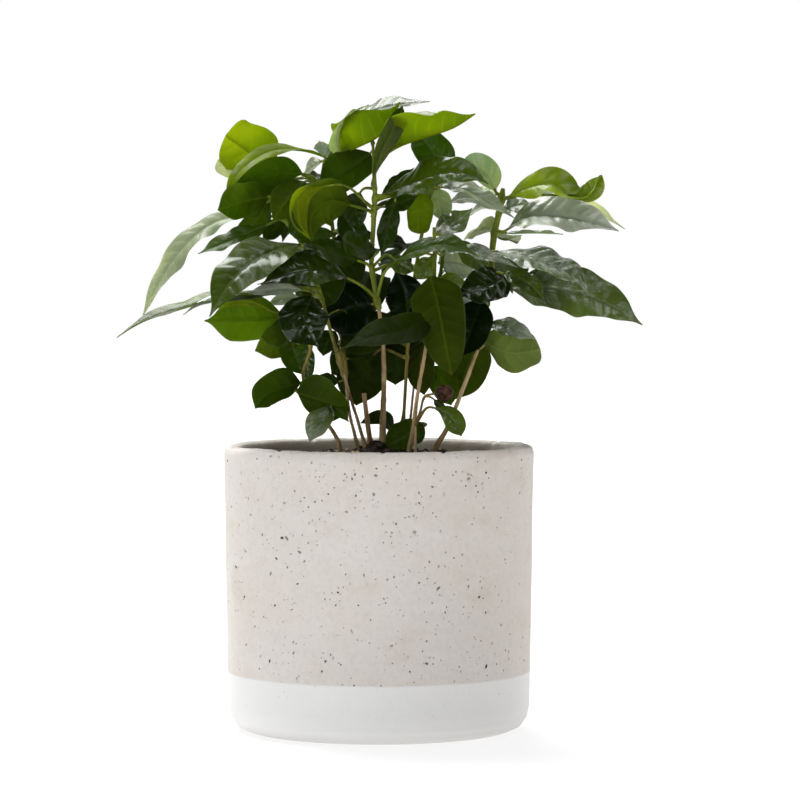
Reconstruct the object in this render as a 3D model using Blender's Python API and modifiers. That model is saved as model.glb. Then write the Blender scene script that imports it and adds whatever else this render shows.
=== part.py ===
"""A young coffee plant in a round concrete pot.

The pot stands on its flat underside with its axis on +Z and the origin in the middle of the
underside.  Ten thin stems come out of the soil; nine of them carry a leafy shoot each.
"""
import math
import random

import bmesh
import bpy
import numpy as np

# driving sizes, in mm
POT_TOP_R = 75.0
POT_FOOT_R = 73.0
POT_HEIGHT = 138.0
POT_WALL = 8.0
POT_FLOOR = 10.0
POT_FOOT_ROUND = 12.0
DIP_HEIGHT = 28.9
SOIL_TOP = 133.1
SOIL_EDGE = 128.0
SOIL_FLAT_R = 34.0
CLEAR = 0.3
FOOT_Z = SOIL_TOP + CLEAR
LEAF_THICK = 1.2
PETIOLE_R = 0.7
CHERRY_R = 4.6

# The crown is laid out as it is seen from the front by an eye at this place, this far off:
# a point deeper in the crown is spread away from the eye's line, so that depth can be given
# to a leaf without moving its place in the front view.
EYE_X = 10.2
EYE_Z = 229.7
EYE_FAR = 1800.0

# stems: woody foot first, then the green twig that carries leaves; (x, y, z, radius)
STEMS = {
    "left_low": [(-18.5, -8, 133.4, 1.4), (-20, -8, 140, 1.25), (-24.5, -9, 147.5, 1.15)],
    "left_back": [(-9.6, 7, 133.4, 1.15), (-11.5, 7, 142, 0.95), (-14, 8, 152, 0.9),
                  (-16, 9, 168, 0.85)],
    "left_front": [(-6.2, -5, 133.4, 1.1), (-9.2, -5, 146, 0.9), (-13.2, -6, 159, 0.85),
                   (-17, -8, 172, 0.8)],
    "stub": [(-3.6, 2, 133.4, 1.4), (-5.2, 2, 146, 1.2), (-7.3, 2, 163, 1.1)],
    "main": [(2.0, 0, 133.4, 2.1), (1.8, 0, 145, 1.75), (2.4, 0, 165, 1.4), (2.2, 0, 183, 1.35),
             (1.4, 0, 193, 1.3), (0.2, 0, 203, 1.25)],
    "middle": [(10.6, 13, 133.4, 1.0), (11.2, 13, 141, 0.85)],
    "right_front": [(14.4, -14, 133.4, 1.35), (16.2, -14, 143, 1.2), (18.4, -14, 160, 1.1),
                    (21.5, -13, 178, 1.1), (23.6, -12, 190, 1.05)],
    "inner_right": [(13.2, 22, 133.4, 0.95), (15.2, 22, 150, 0.8), (17.0, 22, 168, 0.75)],
    "seedling": [(17.6, -20, 133.4, 0.8), (17.8, -20, 147, 0.65)],
    "right": [(26.5, 6, 133.4, 1.5), (33, 6, 146, 1.3), (37.5, 6, 157, 1.2), (43, 6, 171, 1.15),
              (47.8, 6, 184, 1.1)],
}
TWIGS = {
    "left_low": [(-24.8, -9, 148.1, 1.1), (-28, -10, 155, 1.0), (-34, -8, 164, 1.0),
                 (-36.7, -6, 171, 0.9), (-33, -4, 186, 0.85), (-36, -3, 196, 0.8), (-42, -2, 203, 0.7)],
    "left_back": [(-16.1, 9.1, 168.4, 0.85), (-18, 13, 190, 0.9), (-20, 18, 220, 0.9),
                  (-23, 22, 248, 1.0), (-25.6, 24, 266, 1.2), (-26.2, 24, 276, 0.8)],
    "left_front": [(-17.1, -8.1, 172.4, 0.8), (-22, -9, 188, 0.8), (-28, -10, 210, 0.85),
                   (-36, -8, 232, 0.85), (-45, -2, 247, 0.85), (-52, 3, 258, 0.75)],
    "main": [(0.1, 0, 203.4, 1.25), (-1.4, 0, 210, 1.25), (-2.6, 0, 218, 1.2), (-3.6, 0, 225, 1.1),
             (-3.0, 0, 238, 1.1), (-2.4, 0, 249, 1.25), (-1.9, 0, 258, 1.1), (-2.4, 0, 272, 0.9),
             (-3, 0, 285.5, 0.6)],
    "middle": [(11.2, 13, 141.4, 0.85), (12.2, 13, 155, 0.8), (13.2, 14, 172, 0.85), (15, 18, 200, 0.9),
               (19, 20, 230, 0.9), (24, 18, 256, 0.9), (27, 14, 270, 0.8)],
    "right_front": [(23.7, -11.9, 190.4, 1.05), (25.5, -10, 202, 1.05), (26.5, -8, 217, 1.1),
                    (27, -6, 232, 0.9), (26.6, -3, 243, 0.7)],
    "inner_right": [(17.05, 22, 168.4, 0.75), (21, 24, 190, 0.85), (28, 26, 212, 0.9),
                    (30.8, 26, 228, 0.85), (32.5, 22, 246, 0.9), (32.5, 20, 256, 0.7)],
    "seedling": [(17.85, -20, 147.4, 0.6), (20, -22, 154, 0.6), (22.5, -23.5, 161.5, 0.55),
                 (26, -24, 162.5, 0.5), (31, -24, 163, 0.5)],
    "right": [(48, 6, 184.4, 1.1), (51, 8, 200, 1.1), (53.5, 12, 215, 1.1), (54.6, 16, 230, 1.1),
              (56, 18, 241, 1.25), (58, 19, 250, 1.1), (59.4, 19, 258, 1.2), (60, 19, 262, 0.7)],
}

# leaves seen from the front: shoot, height of the node, width, way the top side looks,
# fold at the midrib, curl of the halves, twist along the blade, outline, tint, midrib points
LEAVES = [
    # upper left
    ("left_back", 262, 30, (-0.2, 0.85, 0.45), 4, -8, 0, "round", "lime",
     [(-46, 30, 270), (-60, 34, 278.5), (-75.5, 36, 286)]),
    ("left_back", 272, 15, (0, -0.45, 0.9), 12, -10, -40, "long", "bright",
     [(-29, 20, 275.5), (-41, 12, 280.5), (-55, 4, 277), (-68, -2, 268), (-76, -5, 260)]),
    ("left_front", 257, 20, (0, 0.85, 0.5), 4, 0, 0, "round", "mid",
     [(-54, 1, 258), (-65, -3, 256), (-78, -6, 251.5)]),
    ("left_front", 256, 13, (0.45, 0.85, 0.1), 5, -15, 0, "round", "mid",
     [(-54, 6, 255), (-59, 6, 246), (-69, 3, 236)]),
    ("left_back", 258, 17, (0, 0.8, 0.6), 8, 0, 0, "round", "dark",
     [(-37, 14, 269), (-49, 9, 269.5), (-71, 6, 262)]),
    ("left_back", 258, 19, (0.3, 0.85, 0.3), 4, 0, 0, "round", "mid",
     [(-36, 18, 264), (-43, 16, 256), (-51, 13, 246)]),
    ("left_front", 246, 17, (-0.35, -0.5, 0.75), 10, -10, 0, "long", "pale",
     [(-62, 16, 247), (-77, 20, 246.5), (-90, 20, 241), (-100, 18, 230.5), (-108, 16, 218),
      (-115, 12, 200)]),
    ("left_front", 248, 15, (-0.1, -0.5, 0.85), 8, 0, 0, "long", "dark",
     [(-54, -8, 246), (-69, -13, 239), (-87.5, -18, 230.5)]),
    ("left_front", 213, 14, (-0.15, -0.25, 0.95), 12, 0, 0, "long", "pale",
     [(-52, -16, 212), (-80, -22, 208.5), (-98, -24, 203.5), (-114, -26, 198), (-127, -28, 190)]),
    ("left_front", 232, 26, (-0.2, -0.75, 0.6), 10, -8, 0, "long", "gloss",
     [(-38, -16, 235), (-50, -28, 232), (-66, -42, 222), (-80, -52, 200.5)]),
    ("left_front", 209, 7, (0, -0.8, 0.5), 6, 0, 0, "long", "pale",
     [(-40, -2, 212.5), (-50, -1, 212.5), (-66, 0, 210.5)]),
    ("left_low", 202, 26, (0, 0.93, 0.36), 10, -6, 0, "long", "mid",
     [(-45, -8, 199.5), (-62, -12, 198.5), (-74, -16, 198), (-84.5, -18, 198)]),
    ("left_low", 196, 14, (0, 0.9, 0.4), 6, 0, 0, "round", "mid",
     [(-40, -14, 193), (-48, -20, 192), (-57, -25, 190)]),
    ("left_low", 190, 14, (0, 0.9, 0.4), 4, 0, 0, "round", "palegreen",
     [(-39, 2, 187), (-49, 5, 186), (-60, 8, 183.5)]),
    ("left_low", 194, 15, (0.2, -0.9, 0.3), 6, 0, 0, "round", "dull",
     [(-43, 2, 192), (-41, 3, 182), (-37, 2, 172)]),
    ("left_low", 168, 18, (-0.1, 0.85, 0.5), 14, 0, 0, "ob", "dark",
     [(-39, -10, 168), (-50, -14, 168.5), (-57, -17, 164), (-61, -19, 156)]),
    ("left_low", 165, 21, (0, 0.85, 0.5), 5, -6, 0, "round", "dark",
     [(-38, -14, 165), (-27, -18, 161), (-13, -22, 156)]),
    ("left_low", 158, 10, (-0.3, -0.8, 0.5), 12, 0, 0, "long", "gloss",
     [(-26.5, -22, 157.5), (-31.5, -28, 149), (-35.5, -33, 138)]),
    ("left_low", 156, 8, (0.2, -0.8, 0.5), 10, 0, 0, "long", "gloss",
     [(-25, -22, 158), (-20, -27, 154.5), (-14.5, -31, 149)]),
    # top
    ("left_back", 274, 40, (0.1, 0.1, 0.95), 52, -12, 0, "long", "lime",
     [(-22, 18, 280), (-13, -3, 282), (5, -9, 287), (16, -10, 295), (24, -8, 304.5)]),
    ("main", 270, 30, (-0.1, 0.1, 0.95), 50, -10, 0, "long", "lime",
     [(0, -6, 276), (9, -12, 282.5), (22, -18, 286.5), (37, -20, 291), (46.5, -20, 298)]),
    ("main", 284, 22, (0, 0.8, 0.6), 4, 0, 0, "round", "dark",
     [(-4, 6, 279), (-15, 10, 271), (-29, 12, 262)]),
    # around the main stem
    ("main", 250, 23, (0, 0.9, 0.3), 6, -12, 0, "round", "olive",
     [(-14, -10, 254), (-25, -16, 255.5), (-33, -19, 248), (-32, -20, 238)]),
    ("main", 224, 14, (0, -0.8, 0.5), 8, 0, 0, "long", "olive",
     [(-10, -8, 227), (-22, -14, 231), (-35, -18, 236)]),
    ("main", 228, 13, (0, -0.9, 0.4), 10, 0, 0, "long", "dark",
     [(-1, -8, 232), (-8, -16, 233), (-16, -23, 236), (-15.5, -25, 230.5)]),
    ("main", 209, 23, (0, -0.75, 0.65), 10, 0, 0, "long", "gloss",
     [(-15, -8, 218.5), (-26, -14, 222.5), (-40, -20, 222), (-57, -26, 215.5)]),
    ("main", 208, 27, (0, -0.95, 0.3), 4, 0, 0, "round", "black",
     [(-3, 8, 206), (-14, 9, 203.5), (-27, 9, 197)]),
    ("left_front", 208, 25, (0, -0.9, 0.4), 6, 0, 0, "long", "ripple",
     [(-32, -16, 210), (-36, -22, 199), (-29, -26, 185)]),
    ("right_front", 205, 17, (0, -0.6, 0.8), 6, 0, 70, "long", "mid",
     [(27, -18, 201), (14, -28, 194), (-3, -32, 190.5), (-22.5, -30, 182)]),
    ("main", 222, 19, (0, -0.95, 0.25), 4, 0, 0, "long", "black",
     [(8, 10, 222), (12, 10, 212), (14, 8, 194)]),
    ("main", 209, 24, (0, -0.5, 0.87), 10, -10, 0, "long", "gloss",
     [(5, -10, 224), (20, -28, 231), (38, -38, 233.5), (54, -40, 228.5), (68, -38, 223)]),
    ("main", 258, 24, (0, -0.7, 0.7), 12, -8, 0, "long", "gloss",
     [(3, -6, 259), (16, -18, 264.5), (32, -28, 269.5), (45, -32, 268.5), (53, -33, 264)]),
    ("main", 257, 14, (0.2, -0.45, 0.85), 10, 0, 0, "long", "pale",
     [(14, 0, 258.5), (38, -8, 260), (52, -12, 254.5), (66, -14, 247.5)]),
    ("main", 256, 11, (0.4, -0.85, 0.1), 8, 0, 0, "long", "black",
     [(8, 4, 256), (5, 2, 246), (1, 0, 229)]),
    ("main", 252, 9, (0, -0.85, 0.4), 8, 0, 0, "long", "black",
     [(2, 8, 253), (10, 10, 254.5), (19, 10, 258.5)]),
    ("main", 232, 12, (0, -0.7, 0.7), 6, 0, 0, "long", "dark",
     [(2, 8, 233), (8, 14, 236), (16, 20, 233)]),
    ("middle", 258, 14, (0, 0.95, 0.1), 4, 0, 0, "round", "olive",
     [(22, 12, 259), (20.5, 10, 250), (22, 8, 238)]),
    ("inner_right", 246, 13, (-0.2, -0.7, 0.6), 10, 0, 30, "long", "ripple",
     [(29, 14, 244), (35, 8, 247), (47, 4, 253)]),
    ("middle", 268, 19, (0.3, -0.9, 0.2), 8, 0, 0, "round", "mid",
     [(27, 10, 271), (25.5, 8, 279), (20, 4, 290)]),
    ("inner_right", 226, 15, (0, -0.8, 0.5), 4, 0, 0, "round", "palegreen",
     [(30, 28, 225), (38, 32, 225.5), (47, 36, 222)]),
    ("right_front", 240, 12, (0.3, -0.8, 0.4), 6, 0, 0, "long", "dark",
     [(36, -4, 237), (45, -2, 229), (54, 0, 220)]),
    # right
    ("right", 258, 14, (-0.4, -0.7, 0.6), 10, 0, 0, "round", "bright",
     [(57, 20, 262), (54.5, 20, 269), (48.5, 19, 274), (39, 16, 275)]),
    ("right", 257, 20, (0, -0.5, 0.85), 14, -8, -90, "long", "bright",
     [(63, 12, 259), (74, 4, 266), (85, 0, 267), (94, -3, 260.5), (102, -5, 259.5), (108, -5, 269)]),
    ("right", 256, 20, (0, -0.35, 0.93), 10, 0, 0, "long", "pale",
     [(62, 26, 258), (80, 36, 259), (100, 42, 254), (119, 44, 245)]),
    ("right", 256, 14, (0, -0.5, 0.85), 8, 0, 0, "long", "palegreen",
     [(57, 28, 259), (50, 36, 260), (40, 44, 257)]),
    ("right", 241, 25, (0, -0.6, 0.8), 14, 0, 0, "long", "pale",
     [(62, 10, 241.5), (74, 2, 247), (88, -4, 248), (102, -6, 246), (114.5, -8, 243)]),
    ("right", 240, 11, (0, 0, 1), 6, 0, 0, "long", "dull",
     [(61, 26, 240.5), (75, 32, 241), (89, 38, 240)]),
    ("right", 250, 12, (0.1, -0.5, 0.9), 6, 0, 0, "long", "palegreen",
     [(53, 24, 249.5), (47, 30, 248), (38, 36, 241.5)]),
    ("right", 241, 15, (0.1, -0.5, 0.9), 6, 0, 0, "long", "palegreen",
     [(54, 20, 239.5), (46, 26, 236.5), (37, 32, 231)]),
    ("right", 240, 12, (0, -0.5, 0.9), 4, 0, 0, "long", "palegreen",
     [(57, 26, 239), (62, 34, 237.5), (69, 42, 239.5)]),
    ("right", 229, 20, (0.15, -0.5, 0.85), 12, -10, 0, "long", "gloss",
     [(58, 0, 230), (72, -14, 228.5), (88, -26, 224.5), (97, -31, 219.5), (101.5, -33, 210.5)]),
    ("right", 216, 26, (0, -0.85, 0.5), 10, -10, 0, "long", "gloss",
     [(62, -4, 214.5), (80, -12, 213.5), (104, -18, 210), (127.5, -22, 196.5)]),
    ("right", 224, 20, (0, -0.9, 0.4), 8, 0, 0, "long", "black",
     [(62, 0, 221), (54, -10, 215.5), (37, -18, 210.5)]),
    ("right", 206, 18, (0.2, -0.95, 0.2), 4, 0, 0, "round", "black",
     [(50, -4, 208), (46.5, -10, 198), (40, -14, 181)]),
    ("right", 192, 21, (0, 0.95, 0.1), 4, 0, 0, "round", "olive",
     [(49, 22, 190), (44, 24, 178), (37, 22, 160)]),
    ("right", 190, 27, (0, 0.85, 0.5), 16, -6, 0, "round", "mid",
     [(52, 2, 189.5), (65, -6, 188), (80, -10, 187)]),
    ("right_front", 218, 24, (0, 0.9, 0.2), 4, -6, 0, "round", "olive",
     [(26, -14, 219), (26.5, -20, 205), (30, -24, 190), (35, -24, 170)]),
    # low in the middle
    ("middle", 186, 20, (0, 0.9, 0.2), 4, 0, 0, "round", "shade",
     [(-3, 28, 190), (-12, 30, 182), (-23, 28, 172)]),
    ("middle", 180, 24, (0, -0.9, 0.3), 4, 0, 0, "round", "shade",
     [(-2, 22, 182), (-8, 20, 172), (-11, 18, 157)]),
    ("middle", 192, 23, (0, -0.9, 0.3), 4, 0, 0, "round", "shade",
     [(9, 21, 192), (8, 19.5, 181), (8, 18, 167)]),
    ("inner_right", 186, 14, (0, 0.9, 0.3), 4, 0, 0, "round", "shade",
     [(22, 18, 188), (20, 16, 178), (22, 14, 162)]),
    ("inner_right", 178, 14, (0, 0.9, 0.3), 4, 0, 0, "round", "olive",
     [(26, 20, 176), (31, 18, 168), (35, 14, 157)]),
    ("middle", 207, 22, (0, -0.9, 0.4), 4, 0, 0, "round", "black",
     [(21, 16, 203), (12, 20, 194), (0, 22, 184)]),
    ("middle", 200, 20, (0, -0.9, 0.4), 4, 0, 0, "round", "black",
     [(8, 12, 200), (-4, 10, 192), (-19, 7, 186)]),
    ("left_back", 226, 20, (0, -0.9, 0.3), 4, 0, 0, "round", "black",
     [(-20, 8, 226), (-27, 6, 215), (-33, 4, 203)]),
    ("left_back", 240, 16, (0, -0.9, 0.3), 4, 0, 0, "round", "black",
     [(-19, 12, 240), (-16, 10, 230), (-9, 8, 216)]),
    ("left_back", 254, 13, (0, -0.9, 0.3), 4, 0, 0, "round", "black",
     [(-19, 8, 250), (-13, 6, 242), (-7, 5, 230)]),
    ("middle", 146, 10, (0, -0.7, 0.7), 6, 0, 0, "round", "dark",
     [(7, 9, 143), (3, 7, 150), (-9, 5, 148.5)]),
    ("middle", 148, 15, (0, -0.9, 0.4), 5, 0, 0, "round", "dark",
     [(22, 2, 147), (13, -5, 143), (3, -8, 136.5)]),
    # small ones at the back
    ("left_back", 274, 8, (0.3, -0.9, 0.2), 8, 0, 0, "long", "pale",
     [(-26, 28, 277), (-27, 30, 281), (-29, 32, 285)]),
    ("left_back", 273, 8, (0, -0.9, 0.3), 6, 0, 0, "long", "pale",
     [(-24, 28, 275), (-21, 32, 277), (-16, 36, 279)]),
    ("left_back", 273, 10, (0, -0.8, 0.5), 6, 0, 0, "long", "pale",
     [(-28, 28, 273), (-32, 33, 270.5), (-38, 38, 265)]),
    # the seedling's two leaves
    ("seedling", 150, 8, (0.3, -0.9, 0.3), 14, 0, 0, "ob", "ripple",
     [(26, -26, 153.5), (33, -29, 150), (40, -31, 141.5)]),
    ("seedling", 161.5, 4, (0, -0.9, 0.3), 4, 0, 0, "long", "dull",
     [(26.5, -25, 160), (29, -26, 157.5), (33, -27, 154.5)]),
]

# half width from base to tip
PROFILE = {
    "long": ((0, 0.05, 0.12, 0.22, 0.35, 0.48, 0.6, 0.72, 0.82, 0.9, 0.95, 1),
             (0.04, 0.16, 0.42, 0.74, 0.96, 1, 0.93, 0.76, 0.5, 0.22, 0.09, 0.02)),
    "round": ((0, 0.05, 0.12, 0.22, 0.35, 0.5, 0.65, 0.78, 0.87, 0.93, 0.97, 1),
              (0.04, 0.28, 0.58, 0.85, 0.98, 1, 0.93, 0.76, 0.52, 0.28, 0.12, 0.02)),
    "ob": ((0, 0.05, 0.12, 0.22, 0.35, 0.5, 0.65, 0.78, 0.87, 0.94, 0.97, 1),
           (0.04, 0.1, 0.22, 0.42, 0.7, 0.92, 1, 0.93, 0.7, 0.35, 0.15, 0.02)),
}

# part of the front view that foliage covers, and gaps in it (x, z, half width, half height)
DENSE = [(-76, 256), (-72, 262), (-60, 270), (-45, 275), (-40, 268), (-33, 263), (-26, 266), (-17, 274),
         (-5, 281), (-1, 270), (2, 264), (10, 268), (20, 272), (30, 276), (38, 277), (50, 268),
         (52, 264), (40, 260), (30, 258), (26, 254), (26, 241), (36, 240), (46, 232), (54, 229),
         (58, 229), (66, 234), (80, 229), (96, 221), (108, 219), (122, 207), (124, 200), (108, 201),
         (95, 202), (86, 207), (72, 211), (66, 211), (60, 209), (56, 204), (66, 194), (76, 190),
         (74, 184), (64, 178), (57, 181), (52, 184), (52, 172), (44, 163), (36, 160), (27, 162),
         (24, 168), (2, 174), (0, 166), (-6, 162), (-11, 160), (-16, 166), (-21, 172), (-22, 184),
         (-32, 186), (-36, 176), (-44, 180), (-48, 187), (-58, 188), (-70, 192), (-77, 198), (-77, 202),
         (-60, 208), (-50, 213), (-60, 215), (-68, 210), (-77, 212), (-79, 222), (-72, 228), (-75, 236),
         (-68, 240), (-64, 247), (-72, 248)]
SKY = [(-6, 261, 4.5, 6.5), (-12.5, 251.5, 3.5, 3), (-7, 226.5, 3.5, 2.2), (11.5, 246, 3.5, 9),
       (19, 221, 4.5, 3), (34, 216.5, 3.5, 3), (-51, 204, 5, 6)]

BACK_SEED = 41
BACK_ORDER = ("main", "left_back", "left_front", "right", "middle", "inner_right", "right_front",
              "left_low")
BACK_TRIALS = 14
NODE_STEP = 10.0


def at(x, y, z):
    """Place in the pot's frame of a point given as it is seen from the front."""
    k = 1 + y / EYE_FAR
    return np.array([EYE_X + (x - EYE_X) * k, y, EYE_Z + (z - EYE_Z) * k], float)


def seen(points):
    """Front view of points given in the pot's frame."""
    k = 1 + points[..., 1] / EYE_FAR
    return EYE_X + (points[..., 0] - EYE_X) / k, EYE_Z + (points[..., 2] - EYE_Z) / k


def unit(v):
    return v / np.linalg.norm(v, axis=-1, keepdims=True)


def smooth_line(points, t):
    """Points on the smooth line through the given ones, t from 0 to 1 by length."""
    p = np.asarray(points, float)
    reach = np.concatenate(([0], np.cumsum(np.linalg.norm(np.diff(p[:, :3], axis=0), axis=1))))
    reach /= reach[-1]
    d = np.diff(p, axis=0) / np.diff(reach)[:, None]
    m = np.vstack((d[:1], (d[1:] + d[:-1]) / 2, d[-1:]))
    if len(p) > 2:
        m[0] = 1.5 * d[0] - 0.5 * m[1]
        m[-1] = 1.5 * d[-1] - 0.5 * m[-2]
    t = np.atleast_1d(np.asarray(t, float))
    i = np.clip(np.searchsorted(reach, t, "right") - 1, 0, len(reach) - 2)
    h = (reach[i + 1] - reach[i])[:, None]
    s = ((t - reach[i]) / (reach[i + 1] - reach[i]))[:, None]
    return ((2 * s ** 3 - 3 * s ** 2 + 1) * p[i] + (s ** 3 - 2 * s ** 2 + s) * h * m[i]
            + (3 * s ** 2 - 2 * s ** 3) * p[i + 1] + (s ** 3 - s ** 2) * h * m[i + 1])


def smooth_value(xs, ys, x):
    """Smooth curve through a short table, with no overshoot at its crest."""
    xs = np.asarray(xs, float)
    ys = np.asarray(ys, float)
    d = np.diff(ys) / np.diff(xs)
    m = np.concatenate(([d[0]], (d[1:] + d[:-1]) / 2, [d[-1]]))
    m[1:-1] = np.where(d[1:] * d[:-1] <= 0, 0, m[1:-1])
    i = np.clip(np.searchsorted(xs, x, "right") - 1, 0, len(xs) - 2)
    h = xs[i + 1] - xs[i]
    t = (x - xs[i]) / h
    return ((2 * t ** 3 - 3 * t ** 2 + 1) * ys[i] + (t ** 3 - 2 * t ** 2 + t) * h * m[i]
            + (3 * t ** 2 - 2 * t ** 3) * ys[i + 1] + (t ** 3 - t ** 2) * h * m[i + 1])


def twig_at(shoot, z):
    """Point on a twig's axis at a height of the front view."""
    q = smooth_line(TWIGS[shoot], np.linspace(0, 1, 200))
    k = int(np.argmin(np.abs(q[:, 2] - z)))
    return at(*q[k, :3])


def leaf_frame(points, face, twist, us):
    """Midrib points, sideways and upward directions at the blade positions us."""
    n = 65
    g = np.linspace(0, 1, n)
    c = smooth_line(points, g)
    along = unit(np.gradient(c, axis=0))
    up = np.zeros_like(c)
    k = n // 2
    f = np.asarray(face, float)
    up[k] = unit(f - (f @ along[k]) * along[k])
    for steps, back in ((range(k + 1, n), -1), (range(k - 1, -1, -1), 1)):
        for i in steps:
            v = up[i + back]
            up[i] = unit(v - (v @ along[i]) * along[i])
    a = np.radians(twist) * (g - 0.5)
    up = up * np.cos(a)[:, None] + np.cross(along, up) * np.sin(a)[:, None]
    side = np.cross(along, up)

    def pick(rows):
        return np.stack([np.interp(us, g, rows[:, j]) for j in range(3)], 1)

    return pick(c), unit(pick(side)), unit(pick(up))


def blade(leaf, us, ts):
    """Middle sheet of a leaf: us runs from base to tip, ts from one margin to the other."""
    shoot, node, width, face, fold, curl, twist, kind, tint, pts = leaf
    us = np.asarray(us, float)
    ts = np.asarray(ts, float)
    c, side, up = leaf_frame([at(*p) for p in pts], face, twist, us)
    w = smooth_value(*PROFILE[kind], us) * width / 2
    a = math.radians(fold)
    b = math.radians(curl) + 1e-6
    m = np.abs(ts)
    x = np.sign(ts) * (np.sin(a + b * m) - math.sin(a)) / b
    y = (math.cos(a) - np.cos(a + b * m)) / b
    rows = w[:, None]
    return c[:, None] + side[:, None] * (rows * x)[..., None] + up[:, None] * (rows * y)[..., None]


def covered(points):
    """True where every point is seen from the front within the foliage and off its gaps."""
    x, z = seen(points)
    inside = np.zeros(len(x), bool)
    for (x0, z0), (x1, z1) in zip(DENSE, DENSE[1:] + DENSE[:1]):
        if z1 != z0:
            inside ^= ((z0 > z) != (z1 > z)) & (x < (x1 - x0) * (z - z0) / (z1 - z0) + x0)
    for x0, z0, a, b in SKY:
        inside &= ((x - x0) / a) ** 2 + ((z - z0) / b) ** 2 > 1
    return inside.all()


def cloud(leaf):
    return blade(leaf, np.linspace(0.12, 1, 15), np.linspace(-1, 1, 7)).reshape(-1, 3)


def near(a, b, gap):
    if (a.min(0) > b.max(0) + gap).any() or (b.min(0) > a.max(0) + gap).any():
        return False
    return ((a[:, None] - b[None]) ** 2).sum(-1).min() < gap * gap


def back_leaves():
    """Opposite pairs up each shoot on its far side, left out where they would touch."""
    rnd = random.Random(BACK_SEED)
    kept = []
    taken = [cloud(leaf) for leaf in LEAVES]
    for table in (STEMS, TWIGS):
        for pts in table.values():
            q = smooth_line(pts, np.linspace(0, 1, 40))
            taken.append(np.array([at(*p[:3]) for p in q]))
    for shoot in BACK_ORDER:
        heights = [p[2] for p in TWIGS[shoot]]
        low = heights[0] + 6
        high = max(heights) - 3
        nodes = max(2, int((high - low) / NODE_STEP))
        turn = rnd.uniform(0, 90)
        for k in range(nodes + 1):
            z = low + (high - low) * k / nodes
            p0 = twig_at(shoot, z)
            for half in (0, 180):
                for trial in range(BACK_TRIALS):
                    heading = math.radians(turn + 90 * k + half + rnd.uniform(-34, 34))
                    size = rnd.uniform(46, 82) - trial * 4
                    rise = rnd.uniform(0.05, 0.5)
                    sag = rnd.uniform(0.25, 0.75)
                    roll = rnd.uniform(-0.5, 0.5)
                    wide = size * rnd.uniform(0.38, 0.46)
                    way = np.array([math.cos(heading), math.sin(heading), 0])
                    if way[1] < 0.12:
                        continue
                    pts = []
                    for f in (0, 0.33, 0.66, 1):
                        q = p0 + way * (6 + size * f * (1 - 0.18 * f * sag))
                        q[2] += 6 * rise + size * (rise * f - sag * f * f)
                        x, z1 = seen(q)
                        pts.append((float(x), float(q[1]), float(z1)))
                    face = (-way[1] * roll, way[0] * roll, 1.0)
                    leaf = (shoot, z, wide, face, 9, -10, 0, "long", "back", pts)
                    c = cloud(leaf)
                    if not covered(c) or c[:, 2].min() < 150:
                        continue
                    if any(near(c, other, 3.2) for other in taken):
                        continue
                    kept.append(leaf)
                    taken.append(c)
                    break
    return kept


def material(name, colour, rough):
    mat = bpy.data.materials.new(name)
    mat.use_nodes = True
    shader = mat.node_tree.nodes["Principled BSDF"]
    shader.inputs["Base Color"].default_value = (*colour, 1)
    shader.inputs["Roughness"].default_value = rough
    return mat


def put(name, verts, faces, where, mat):
    """Closed mesh from points in mm."""
    mesh = bpy.data.meshes.new(name)
    mesh.from_pydata([tuple(c * 0.001 for c in v) for v in verts], [], faces)
    mesh.update()
    ob = bpy.data.objects.new(name, mesh)
    where.objects.link(ob)
    ob.data.materials.append(mat)
    return ob


def tube(name, centres, radii, sides, where, mat, flat_foot=False, first_way=None):
    """Round limb with closed ends along a line of centres."""
    centres = np.asarray(centres, float)
    way = unit(np.gradient(centres, axis=0))
    if first_way is not None:
        way[0] = first_way
    verts = []
    side = unit(np.cross(way[0], [0, 1, 0.02]))
    for i, (c, w, r) in enumerate(zip(centres, way, radii)):
        if flat_foot and i == 0:
            w = np.array([0, 0, 1.0])
        side = unit(side - (side @ w) * w)
        other = np.cross(w, side)
        for j in range(sides):
            a = 2 * math.pi * j / sides
            verts.append(c + r * (math.cos(a) * side + math.sin(a) * other))
    n = len(centres)
    faces = [tuple(reversed(range(sides))), tuple(range((n - 1) * sides, n * sides))]
    for i in range(n - 1):
        for j in range(sides):
            k = (j + 1) % sides
            faces.append((i * sides + j, i * sides + k, (i + 1) * sides + k, (i + 1) * sides + j))
    return put(name, verts, faces, where, mat)


def stem_line(points, count):
    q = smooth_line(points, np.linspace(0, 1, count))
    centres = np.array([at(*p[:3]) for p in q])
    return centres, q[:, 3]


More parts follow.
